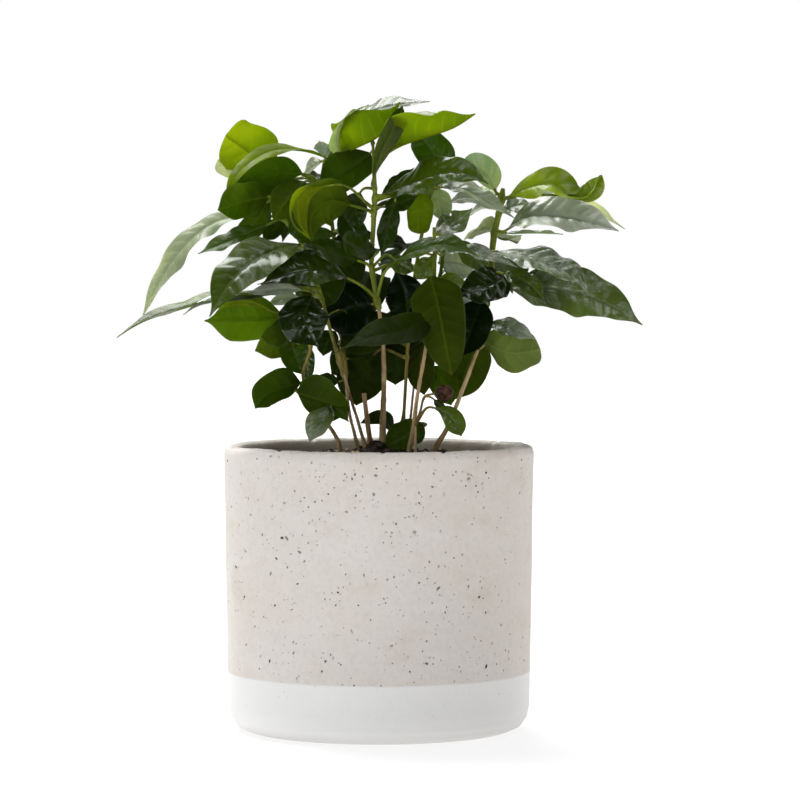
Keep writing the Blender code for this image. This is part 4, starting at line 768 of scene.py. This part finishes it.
def pot_material():
    """Cast concrete with pinholes, dipped white at the foot; painted shade darkens its inside, the top of the
    rim, the pits and holes and the foot.
    """
    mat, g, skin = new_material("cast_concrete")
    x, y, z = g.split(g.place())
    cloudy = g.noise(20.0, 3.0, 0.55)
    grain = g.noise(420.0, 3.0, 0.6)
    # painted shade: this mask darkens the inside of the wall, in the tone below
    inside = g.ramp(g.math("ADD", g.times(x, x), g.times(y, y)), 0.00455, 0.0048, 1.0, 0.0)
    smudge = g.ramp(g.noise(42.0, 4.0, 0.6, (1.0, 1.0, 1.5)), 0.5, 0.72, 0.0, 0.36)
    chalky = g.ramp(g.noise(30.0, 3.0, 0.6, (1.0, 1.0, 2.2)), 0.5, 0.7, 0.0, 0.4)
    # the tone's last layer darkens the top of the rim: painted shade
    tone = g.over(g.mix(g.ramp(cloudy, 0.35, 0.7), (0.71, 0.655, 0.6), (0.745, 0.7, 0.655)),
                  (g.ramp(g.noise(9.0, 2.0, 0.5), 0.4, 0.62), (0.72, 0.668, 0.628)),
                  (smudge, (0.6, 0.53, 0.43)),
                  (chalky, (0.76, 0.73, 0.69)),
                  (g.ramp(grain, 0.42, 0.72, 0.0, 0.2), (0.5, 0.46, 0.42)),
                  (g.times(inside, 0.62), (0.4, 0.35, 0.27)),
                  (g.ramp(z, 0.1368, 0.1378, 0.0, 0.55), (0.5, 0.475, 0.44)))
    above = g.math("SUBTRACT", z, g.math("MULTIPLY_ADD", g.noise(55.0, 2.0), 0.0008, 0.0285))
    white = g.ramp(above, -0.0002, 0.0002, 1.0, 0.0)
    line = g.ramp(g.math("ABSOLUTE", g.math("ADD", above, 0.0002)), 0.0, 0.0007, 0.22, 0.0)
    dipped = g.mix(g.times(cloudy, 0.25), (0.845, 0.832, 0.815), (0.77, 0.752, 0.735))
    # pinholes: cut cells of several sizes, fewer in the dip, more where the mix had more air
    airy = g.ramp(g.noise(17.0, 2.0, 0.5), 0.36, 0.62)
    askew = g.add("Mapping", Rotation=(0.5, 0.9, 0.35), Vector=g.place()).outputs[0]
    stray = g.add("TexNoise", Scale=60.0, Detail=1.0, Vector=askew).outputs["Color"]
    bent = g.add("VectorMath", stray, (0.012, 0.012, 0.012), askew, operation="MULTIPLY_ADD").outputs[0]
    holes = shade = 0.0
    for scale, widest, share in PINHOLES:
        cells = g.add("TexVoronoi", Scale=scale, Vector=bent)
        red, green, blue = g.split(cells.outputs["Color"])
        radius = g.math("MULTIPLY_ADD", red, widest * 0.7, widest * 0.3)
        limit = g.math("MULTIPLY_ADD", airy, share * 0.75, share * 0.25)
        radius = g.times(radius, g.math("LESS_THAN", green, limit))
        radius = g.times(radius, g.ramp(white, 0.0, 1.0, 1.0, 0.45))
        hole = g.ramp(g.math("SUBTRACT", radius, cells.outputs["Distance"]), 0.0, 0.04)
        holes = g.math("MAXIMUM", holes, hole)
        shade = g.math("MAXIMUM", shade, g.times(hole, g.ramp(blue, 0.0, 1.0, 0.55, 1.0)))
    pit = g.add("Attribute", attribute_name="pit").outputs["Fac"]
    colour = g.over(g.mix(white, tone, dipped),
                    (line, (0.6, 0.57, 0.54)),
                    # larger pits darker brown: partly their own tan inside, partly painted shade in the
                    # hollow
                    (g.ramp(pit, 0.25, 0.75, 0.0, 0.75), (0.2, 0.16, 0.11)),
                    (shade, (0.06, 0.048, 0.036)),
                    # darker towards the foot: painted shade where the pot meets the floor
                    (g.ramp(z, 0.0, 0.009, 0.3, 0.0), (0.4, 0.38, 0.36)))
    deep = g.bump(g.math("SUBTRACT", 1.0, holes), 0.0008, 0.8, g.bump(grain, 0.0004, 0.35))
    g.fill(skin, Base_Color=colour, Roughness=g.ramp(white, 0.0, 1.0, 0.88, 0.62), Normal=deep)
    return mat


def grained_material(name, noise_values, span, tones, relief, rough, shine=0.5, over=None):
    """Skin in two tones of one noise, which also gives its relief; over adds to the colour."""
    mat, g, skin = new_material(name)
    grain = g.noise(*noise_values)
    share = g.ramp(grain, *span)
    colour = g.mix(share, *tones)
    if over:
        colour = over(g, share, colour)
    g.fill(skin, Base_Color=colour, Roughness=rough, Specular_IOR_Level=shine,
           Normal=g.bump(grain, *relief))
    return mat


def bark_material():
    def patches(g, _, colour):
        return g.mix(g.ramp(g.noise(70.0, 3.0, 0.5), 0.45, 0.75), colour, (0.62, 0.45, 0.24))

    return grained_material("young_bark", (260.0, 4.0, 0.65, (1.0, 1.0, 0.16)), (0.3, 0.7),
                            ((0.2, 0.125, 0.045), (0.58, 0.4, 0.19)), (0.0006, 0.6), 0.72, over=patches)


def twig_material():
    def young(g, share, woody):
        green = g.mix(share, (0.09, 0.12, 0.005), (0.2, 0.25, 0.018))
        return g.mix(g.ramp(g.split(g.place())["Z"], 0.165, 0.225), woody, green)

    return grained_material("green_twig", (300.0, 3.0, 0.6, (1.0, 1.0, 0.2)), (0.3, 0.7),
                            ((0.12, 0.09, 0.018), (0.3, 0.23, 0.06)), (0.0003, 0.4), 0.5, 0.2, young)


def soil_material():
    return grained_material("dark_potting_soil", (240.0, 5.0, 0.7), (0.35, 0.7),
                            ((0.012, 0.007, 0.004), (0.085, 0.05, 0.028)), (0.0015, 0.8), 0.9)


def cherry_material():
    return grained_material("dried_cherry", (420.0, 4.0, 0.6), (0.35, 0.65),
                            ((0.02, 0.009, 0.004), (0.12, 0.058, 0.03)), (0.002, 1.0), 0.7, 0.2)


# meshes

def placed(name, data):
    """New object in the scene."""
    ob = bpy.data.objects.new(name, data)
    bpy.context.scene.collection.objects.link(ob)
    return ob


def piece(name, verts, faces, mats, face_mats=None, uv_maps=None, attributes=None):
    """Smooth mesh object from points in mm; uv_maps and attributes are given by point."""
    mesh = bpy.data.meshes.new(name)
    verts = np.asarray(verts, np.float32) * 0.001
    faces = np.asarray(faces, np.int32)
    mesh.vertices.add(len(verts))
    mesh.vertices.foreach_set("co", verts.ravel())
    mesh.loops.add(faces.size)
    mesh.loops.foreach_set("vertex_index", faces.ravel())
    mesh.polygons.add(len(faces))
    mesh.polygons.foreach_set("loop_start", np.arange(0, faces.size, faces.shape[1], dtype=np.int32))
    for mat in mats:
        mesh.materials.append(mat)
    if face_mats is not None:
        mesh.polygons.foreach_set("material_index", np.asarray(face_mats, np.int32))
    mesh.update(calc_edges=True)
    mesh.shade_smooth()
    for key, values in (uv_maps or {}).items():
        layer = mesh.uv_layers.new(name=key)
        layer.data.foreach_set("uv", np.asarray(values, np.float32)[faces.ravel()].ravel())
    for key, values in (attributes or {}).items():
        layer = mesh.attributes.new(key, "FLOAT", "POINT")
        layer.data.foreach_set("value", np.asarray(values, np.float32))
    mesh.validate()
    return placed(name, mesh)


def sheet_faces(rows, columns, first=0):
    """Quads of a grid of points, row after row."""
    i, j = np.meshgrid(np.arange(rows - 1), np.arange(columns - 1), indexing="ij")
    a = (first + i * columns + j).ravel()
    return np.stack((a, a + 1, a + columns + 1, a + columns), 1)


def tube_points(centres, radii, sides, relief=None):
    """Rings of a round limb along a line of centres; relief gives what is added to its radius."""
    way = unit(np.gradient(centres, axis=0))
    side = unit(np.cross(way[0], [0.0, 1.0, 0.02]))
    a = 2 * math.pi * np.arange(sides) / sides
    rings = []
    for i, (c, w, r) in enumerate(zip(centres, way, radii)):
        side = unit(side - (side @ w) * w)
        ring = np.cos(a)[:, None] * side + np.sin(a)[:, None] * np.cross(w, side)
        rings.append(c + (r if relief is None else r + relief(i, a)[:, None]) * ring)
    return np.concatenate(rings)


def tube_faces(rings, sides):
    """Quads between rings of points, the last point of each joined to its first."""
    i, j = np.meshgrid(np.arange(rings - 1), np.arange(sides), indexing="ij")
    a = i * sides + j
    b = i * sides + (j + 1) % sides
    return np.stack((a, b, b + sides, a + sides), -1).reshape(-1, 4)


def cap_faces(sides, first):
    """Quads that close a ring of an even number of points."""
    return np.array([(first + k, first + k + 1, first + sides - 2 - k, first + sides - 1 - k)
                     for k in range(sides // 2 - 1)])


class Heap:
    """Gathers points and faces of many small shapes for one piece."""

    def __init__(self):
        self.verts, self.faces, self.mats, self.maps, self.count = [], [], [], {}, 0

    def add(self, verts, faces, mat=0, **maps):
        self.verts.append(np.asarray(verts, float))
        self.faces.append(np.asarray(faces) + self.count)
        self.mats.append(np.full(len(faces), mat))
        for key, values in maps.items():
            self.maps.setdefault(key, []).append(values)
        self.count += len(verts)

    def build(self, name, mats):
        maps = {key: np.concatenate(values) for key, values in self.maps.items()}
        return piece(name, np.concatenate(self.verts), np.concatenate(self.faces), mats,
                     np.concatenate(self.mats), maps)


def fine_leaf(leaf, rnd):
    """Top and lower side of a leaf: wavy margin, domes between the veins, a sunk midrib."""
    base, c, up, half = blade(leaf, US, TS)
    length = np.linalg.norm(np.diff(c, axis=0), axis=1).sum()
    half = half[:, None]
    up = up[:, None, :]
    u = US[:, None]
    t = TS[None, :]
    m = np.abs(t)
    # veins leave the midrib and bend towards the tip near the margin
    pairs = max(5.0, length / (RIPPLE_SPACING if leaf.tint == "ripple" else VEIN_SPACING))
    reach = 0.62 * half / length
    s = pairs * (u - reach * (0.55 * m + 0.45 * m ** 2.4)) + np.where(t < 0, 0.18, 0.0) + rnd.random()
    dome = 1 - (np.abs((s % 1.0) - 0.5) * 2) ** 2.6
    small = np.clip(half / 12, 0.25, 1.2)
    lift = QUILT.get(leaf.tint, USUAL_QUILT) * small * dome
    lift = lift * np.clip(1 - m ** 4, 0, 1) * np.clip(m * 6, 0, 1)
    lift -= 0.45 * small * np.exp(-(t * half / 0.9) ** 2)
    waves = rnd.uniform(1.6, 3.0) if leaf.outline == "long" else rnd.uniform(1.0, 1.8)
    for sign in (-1, 1):
        phase = rnd.uniform(0, 2 * math.pi)
        swing = np.sin(2 * math.pi * waves * u + phase) + 0.25 * np.sin(4.4 * math.pi * waves * u + 2 * phase)
        lift = lift + np.where(t * sign > 0, m ** 2 * swing * half * rnd.uniform(0.08, 0.17), 0)
    top = base + up * lift[..., None]
    rib = 0.55 * (1 - 0.75 * u) * np.exp(-(t * half / 0.7) ** 2)
    thick = LEAF_SHEET * (1 - m ** 10) + rib * np.minimum(1, half / 3)
    low = top - up * thick[..., None]
    veins = np.stack(np.broadcast_arrays(s, t), -1).reshape(-1, 2)
    size = np.stack(np.broadcast_arrays(t * half, u * length), -1).reshape(-1, 2)
    return top.reshape(-1, 3), low.reshape(-1, 3), veins, size


def stalk(leaf):
    """Bent round leaf stalk from the twig to the foot of the blade."""
    c, _, _ = leaf_frame([at(*p) for p in leaf.midrib], leaf.face, leaf.twist, np.array([0.0, 0.04, 0.1]))
    start = twig_at(leaf.shoot, leaf.node)
    away = unit(c[0] - start)
    along = unit(c[1] - c[0])
    bend = np.linalg.norm(c[0] - start) * 0.45
    t = np.linspace(0, 1, 12)[:, None]
    q = ((1 - t) ** 3 * start + 3 * (1 - t) ** 2 * t * (start + (away + np.array([0, 0, 0.15])) * bend)
         + 3 * (1 - t) * t * t * (c[0] - along * bend) + t ** 3 * (c[0] + along * 0.8))
    radii = STALK_R * (1.15 - 0.35 * t[:, 0]) + 0.35 * np.exp(-(t[:, 0] / 0.12) ** 2)
    return q, radii * min(1.0, 0.55 + leaf.width / 30)


def hashed(x, y, z):
    return noise.noise(Vector((x, y, z)))


# pot

def pot_profile():
    """Points (r, z) up the inside, over the rim, down the wall and to the middle of the foot."""
    # radius, height, and how coarse the points are up to the next corner, 0 for none between
    corners = [(POT_INSIDE - 2.0, 112.0, 0), (POT_INSIDE - 0.3, 130.0, 0.6),
               (POT_INSIDE + 0.3, POT_HEIGHT - 3.4, 0.6), (POT_INSIDE + 1.3, POT_HEIGHT - 1.0, 0.4),
               (POT_INSIDE + 3.2, POT_HEIGHT, 0.3), (POT_TOP_R - 3.0, POT_HEIGHT, 0.3),
               (POT_TOP_R - 0.9, POT_HEIGHT - 1.0, 0.4), (POT_TOP_R, POT_HEIGHT - 3.6, 0.8),
               (POT_TOP_R - 0.2, 125.0, 1.0), (POT_FOOT_R + 0.35, DIP_HEIGHT, 1.0),
               (POT_FOOT_R, POT_FOOT_ROUND, 0.8), (POT_FOOT_R - 1.1, 6.6, 0.5),
               (POT_FOOT_R - 4.2, 2.3, 0.5), (POT_FOOT_R - 9.0, 0.3, 0.8),
               (POT_FOOT_R - 12.0, 0.0, 2.0), (0.5, 0.0, 0)]
    profile = []
    for (r0, z0, step), (r1, z1, _) in zip(corners, corners[1:]):
        n = max(1, int(math.hypot(r1 - r0, z1 - z0) / (step + 0.25))) if step else 1
        profile += [(r0 + (r1 - r0) * k / n, z0 + (z1 - z0) * k / n) for k in range(n)]
    profile = np.array(profile + [corners[-1][:2]])
    smooth = profile.copy()
    smooth[2:-3] = (profile[1:-4] + profile[2:-3] * 2 + profile[3:-2]) / 4
    return smooth


def pot_pits():
    """Larger pits as (angle, height, size), gathered in patches and rarer in the dip."""
    rnd = random.Random(PIT_SEED)
    pits = []
    while len(pits) < PIT_COUNT:
        a = rnd.uniform(0, 2 * math.pi)
        z = rnd.uniform(8, 132)
        if hashed(math.cos(a) * 2.1, math.sin(a) * 2.1, z / 38) + rnd.uniform(-0.3, 0.3) < 0.05:
            continue
        if z < DIP_HEIGHT and rnd.random() < 0.7:
            continue
        pits.append((a, z, rnd.uniform(0.4, 0.85) * (1.3 if rnd.random() < 0.15 else 1.0)))
    return pits


def turned_pot(mat):
    """The pot turned finely: uneven rim, faint waves of the wall, larger pits."""
    profile = pot_profile()
    rows = len(profile)
    turn = 2 * math.pi * np.arange(POT_STEPS) / POT_STEPS
    r = np.repeat(profile[:, :1], POT_STEPS, 1)
    z = np.repeat(profile[:, 1:], POT_STEPS, 1)
    for j, a in enumerate(turn):
        ca, sa = math.cos(a), math.sin(a)
        lift = 0.45 * hashed(ca * 2.2, sa * 2.2, 3.1) + 0.35 * hashed(ca * 8, sa * 8, 7.7)
        chip = min(0.0, hashed(ca * 14, sa * 14, 1.3) + 0.28) * 2.2
        for i, (r0, z0) in enumerate(profile):
            # the lower inside stays plain
            if r0 < POT_INSIDE + 0.1 and i < 6:
                continue
            near_rim = max(0.0, 1 - abs(z0 - POT_HEIGHT) / 5)
            z[i, j] += near_rim * (lift + chip)
            if z0 > 3:
                wave = 0.22 * hashed(ca * 3, sa * 3, z0 / 30) + 0.1 * hashed(ca * 12, sa * 12, z0 / 7)
                wave += near_rim * 0.35 * hashed(ca * 16, sa * 16, z0 / 4 + 5)
                # the wall grows thicker or thinner on both its sides
                r[i, j] += wave * (1 if i > rows // 3 or r0 > POT_INSIDE + 3 else -1)
    outer = (np.arange(rows) > np.argmax(profile[:, 1])) & (profile[:, 1] > 4)
    pit = np.zeros_like(r)
    for a, z0, size in pot_pits():
        across = ((turn - a + math.pi) % (2 * math.pi) - math.pi)[None, :] * POT_TOP_R
        up = (profile[:, 1] - z0)[:, None]
        reach = np.hypot(across, up) * (1 + 0.18 * np.sin(2 * np.arctan2(up, across) + a * 9))
        dent = np.exp(-(reach / size) ** 2) * outer[:, None]
        r -= dent * size * 0.8
        pit = np.maximum(pit, dent)
    verts = np.stack((r * np.cos(turn), r * np.sin(turn), z), -1).reshape(-1, 3)
    return piece("concrete_pot", verts, tube_faces(rows, POT_STEPS)[:, ::-1], [mat],
                 attributes={"pit": pit.ravel()})


pot = turned_pot(pot_material())
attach(pot, "root")
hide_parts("pot")


# soil

def soil_height(x, y):
    fall = max(0.0, (math.hypot(x, y) - SOIL_FLAT_R) / (POT_INSIDE - SOIL_FLAT_R))
    z = SOIL_TOP + 0.5 - (SOIL_TOP - SOIL_EDGE) * fall ** 1.3
    z += (2.0 * math.exp(-((x - 1) ** 2 + (y + 6) ** 2) / 260)
          + 3.5 * math.exp(-((x + 2) ** 2 + (y + 4) ** 2) / 34))
    return z + 1.1 * hashed(x / 9, y / 9, 2) + 0.6 * hashed(x / 3.2, y / 3.2, 5)


def cube_ball():
    """Round ball as a blown-up cube, each of its sides a grid of 3 by 3 points."""
    cube = np.array([(x, y, z) for x in (-1, 1) for y in (-1, 1) for z in (-1, 1)], float)
    grid = []
    for q in ((0, 1, 3, 2), (4, 6, 7, 5), (0, 4, 5, 1), (2, 3, 7, 6), (0, 2, 6, 4), (1, 5, 7, 3)):
        p = cube[list(q)]
        for s in (0, 0.5, 1):
            for t in (0, 0.5, 1):
                grid.append(p[0] * (1 - s) * (1 - t) + p[1] * s * (1 - t) + p[2] * s * t + p[3] * (1 - s) * t)
    return unit(np.array(grid)), np.concatenate([sheet_faces(3, 3, 9 * q) for q in range(6)])


def soil_piece(mat, bits):
    """Lumpy surface of the soil up to the pot's wall, with loose crumbs on it."""
    heap = Heap()
    rings = np.concatenate((np.linspace(0.4, 60, 62), np.linspace(61, 67.6, 6)))
    verts = []
    for r in rings:
        for j in range(SOIL_STEPS):
            a = 2 * math.pi * j / SOIL_STEPS
            x, y = r * math.cos(a), r * math.sin(a)
            verts.append((x, y, soil_height(x, y)))
    heap.add(verts, tube_faces(len(rings), SOIL_STEPS)[:, [0, 3, 2, 1]])
    # crumbs, every sixth one a bit of bark, about half of them between the stems
    rnd = random.Random(CRUMB_SEED)
    ball, ball_faces = cube_ball()
    for n in range(CRUMBS):
        if n < CRUMBS_AT_STEMS:
            x, y = rnd.gauss(2, 17), rnd.gauss(-4, 13)
        else:
            r, a = (CRUMB_REACH - 1) * math.sqrt(rnd.random()), rnd.uniform(0, 2 * math.pi)
            x, y = r * math.cos(a), r * math.sin(a)
        if math.hypot(x, y) > CRUMB_REACH:
            continue
        size = rnd.uniform(0.5, 1.5) * (1.5 if rnd.random() < 0.12 else 1)
        shape = ball * (1 + 0.3 * np.array([hashed(*(p * 1.7 + n)) for p in ball])[:, None])
        shape = shape * np.array((rnd.uniform(0.7, 1.7), rnd.uniform(0.6, 1.1), rnd.uniform(0.5, 0.9))) * size
        spin = rnd.uniform(0, math.pi)
        ca, sa = math.cos(spin), math.sin(spin)
        px, py, pz = shape.T
        shape = np.stack((px * ca - py * sa, px * sa + py * ca, pz), 1)
        heap.add(shape + np.array((x, y, soil_height(x, y) + size * 0.25)), ball_faces, int(n % 6 == 0))
    return heap.build("soil_surface", [mat, bits])


soil = soil_piece(soil_material(), bark_material())
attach(soil, "root")
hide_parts("potting_soil")


# stems and twigs

leaves = [Leaf(*row) for row in LEAVES + SMALL_LEAVES] + back_leaves()


def limb(points, sides, spacing, knots, knot, rough_mm, seed, thin=0.0):
    """Round limb through table points, with a ring where each pair of leaves stood or stands.

    thin is the share of its table radius that the limb loses by its end.
    """
    length = np.linalg.norm(np.diff(np.array(points)[:, :3], axis=0), axis=1).sum()
    count = max(6, int(length / spacing))
    q = smooth_line(points, np.linspace(0, 1, count))
    centres = np.array([at(*p[:3]) for p in q])
    radii = q[:, 3] * (1 - thin * np.linspace(0, 1, count))
    for z in knots:
        radii += knot * np.exp(-((centres[:, 2] - z) / 1.1) ** 2) * np.clip(radii, 0.6, 1.2)

    def relief(i, angles):
        z = centres[i][2]
        return np.array([rough_mm * (hashed(math.cos(a) * 1.6 + seed, math.sin(a) * 1.6, z / 5)
                                     + 0.6 * hashed(math.cos(a) * 5, math.sin(a) * 5 + seed, z / 1.6))
                         for a in angles])

    verts = tube_points(centres, radii, sides, relief)
    return verts, np.concatenate((tube_faces(count, sides), cap_faces(sides, (count - 1) * sides)))


def woody_stems(mat):
    """Feet of the stems, knotted where leaves fell; all but the stub taper more than the table says."""
    heap = Heap()
    for n, (shoot, pts) in enumerate(STEMS.items()):
        rnd = random.Random(n)
        x, y, z, r = pts[0]
        low, high = z + 6, pts[-1][2] - 3
        knots = []
        while low < high:
            knots.append(low)
            low += rnd.uniform(9, 16)
        heap.add(*limb([(x, y, z - 2.5, r)] + pts, 16, 0.55, knots, 0.1, 0.14, n * 3.7,
                       0.0 if shoot == "stub" else 0.3))
    return heap.build("woody_stems", [mat])


def green_twigs(mat):
    """Upper ends of the stems, with all leaf stalks."""
    heap = Heap()
    for n, (shoot, pts) in enumerate(TWIGS.items()):
        knots = sorted({leaf.node for leaf in leaves if leaf.shoot == shoot})
        wide = 1.3 if shoot == "right" else 1.0
        x, y, z, r = STEMS[shoot][-1]
        pts = [(x, y, z, r * 0.7)] + [(x, y, z, r * wide) for x, y, z, r in pts]
        heap.add(*limb(pts, 12, 0.8, knots, 0.28, 0.06, n * 2.9 + 40))
    for leaf in leaves:
        centres, radii = stalk(leaf)
        heap.add(tube_points(centres, radii, 8), tube_faces(len(centres), 8))
    return heap.build("green_twigs", [mat])


stems = woody_stems(bark_material())
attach(stems, "root")
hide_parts("cut_stub", *[shoot + "_stem" for shoot in STEMS if shoot != "stub"])

twigs = green_twigs(twig_material())
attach(twigs, "root")


# leaves and cherry

skins = {}
for tint, (top, vein, low, glow, share, rough, coat, shine, *patches) in TINTS.items():
    skins[tint] = (leaf_material("leaf_top_" + tint, top, vein, glow, share, rough, coat, shine, False,
                                 *patches),
                   leaf_material("leaf_under_" + tint, low, toned(low, 1.5), glow, share, rough + 0.2,
                                 0.0, 0.08, True))


def foliage(shoot):
    """All leaves of a shoot as one piece, with the two skins of each tint among them."""
    heap = Heap()
    mats = []
    slots = {}
    for n, leaf in enumerate(leaves):
        if leaf.shoot != shoot:
            continue
        if leaf.tint not in slots:
            slots[leaf.tint] = len(mats)
            mats += skins[leaf.tint]
        slot = slots[leaf.tint]
        top, low, veins, size = fine_leaf(leaf, random.Random(LEAF_SEED + n))
        heap.add(top, sheet_faces(ROWS, COLUMNS), slot, veins=veins, size=size)
        heap.add(low, sheet_faces(ROWS, COLUMNS)[:, ::-1], slot + 1, veins=veins, size=size)
    return heap.build(shoot + "_foliage", mats)


def dried_cherry(mat):
    """Shrivelled round fruit, a little sunk at its top."""
    around, along = 28, 18
    verts = []
    for i in range(along + 1):
        b = math.pi * i / along
        for j in range(around):
            a = 2 * math.pi * j / around
            p = np.array((math.sin(b) * math.cos(a), math.sin(b) * math.sin(a), math.cos(b)))
            r = CHERRY_R * (0.97 + 0.1 * hashed(*(p * 2.2)) + 0.05 * hashed(*(p * 6)))
            r *= 1 - 0.12 * math.exp(-((b / 0.3) ** 2))
            verts.append(at(*CHERRY_AT) + p * r * np.array((1, 1, 0.92)))
    return piece("coffee_cherry", verts, tube_faces(along + 1, around)[:, ::-1], [mat])


for shoot in TWIGS:
    ob = foliage(shoot)
    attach(ob, "root")
    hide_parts(shoot + "_leaves")

cherry = dried_cherry(cherry_material())
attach(cherry, "root")


# studio

sheet = bpy.data.meshes.new("floor")
sheet.from_pydata([(-6, -6, 0), (6, -6, 0), (6, 6, 0), (-6, 6, 0)], [], [(0, 1, 2, 3)])
floor = placed("floor", sheet)
mat, g, skin = new_material("floor")
g.fill(skin, Base_Color=(0.35, 0.35, 0.35), Roughness=0.9, Specular_IOR_Level=0.2,
       Emission_Color=WHITE, Emission_Strength=0.7)
sheet.materials.append(mat)


def lamp(name, kind, place, target, power, **values):
    """Light at a place in metres that looks at a target; values are the light's own."""
    light = bpy.data.lights.new(name, kind)
    light.energy = power
    for key, value in values.items():
        setattr(light, key, value)
    ob = placed(name, light)
    ob.location = place
    ob.rotation_euler = (Vector(target) - Vector(place)).to_track_quat("-Z", "Y").to_euler()
    return ob


behind = lamp("light_from_behind", "SUN", (0, 0, 0), (0.3, -0.9, -1.0), 1.5, angle=math.radians(24))
behind.visible_glossy = False
lamp("light_from_above", "SUN", (0, 0, 0), (0.35, 0.15, -1.0), 0.35, angle=math.radians(26))
lamp("light_from_front_left", "AREA", (-1.5, -1.6, 0.5), (0, 0, 0.1), 8.5, shape="DISK", size=1.0,
     color=(0.93, 0.97, 1.0))
for name, place, power, colour in (("spot_on_pot_left", (-1.1, -2.05, 0.1), 78, (0.79, 0.93, 1.0)),
                                   ("spot_on_pot_right", (1.2, -1.9, 0.1), 40, (1.0, 0.96, 0.92))):
    lamp(name, "SPOT", place, (0, 0, 0.06), power, shadow_soft_size=0.3, spot_size=math.radians(9.5),
         spot_blend=1.0, color=colour)

world = bpy.data.worlds.new("studio")
bpy.context.scene.world = world
g = Graph(world)
where = g.add("TexCoord").outputs["Generated"]
# a bright wall behind, two soft panels overhead, and the dark of the room in front
glow = g.ramp(g.split(where)["Y"], -0.15, 0.6, 0.03, 0.9)
for way, low, high, power in (((-0.25, 0.5, 0.83), 0.935, 0.965, 9.5),
                              ((0.33, -0.25, 0.91), 0.968, 0.985, 4.0)):
    facing = g.add("VectorMath", where, way, operation="DOT_PRODUCT").outputs["Value"]
    glow = g.math("ADD", glow, g.ramp(facing, low, high, 0.0, power))
room = g.fill(g.tree.nodes["Background"], Strength=glow, Color=WHITE)
seen_white = g.add("Background", Color=WHITE, Strength=1.0)
either = g.add("MixShader", g.add("LightPath").outputs["Is Camera Ray"], room.outputs[0],
               seen_white.outputs[0])
g.fill(g.tree.nodes["World Output"], Surface=either.outputs[0])

bpy.context.scene.view_settings.view_transform = "Standard"

lens = bpy.data.cameras.new("photo_view")
lens.lens = SENSOR * FOCAL_PIXELS / PHOTO_PIXELS
lens.sensor_width = SENSOR
lens.sensor_fit = "HORIZONTAL"
camera = placed("photo_view", lens)
camera.location = (EYE_X / 1000, -EYE_FAR / 1000, EYE_Z / 1000)
camera.rotation_euler = (math.radians(90 - LOOKS_DOWN), 0, 0)
bpy.context.scene.camera = camera
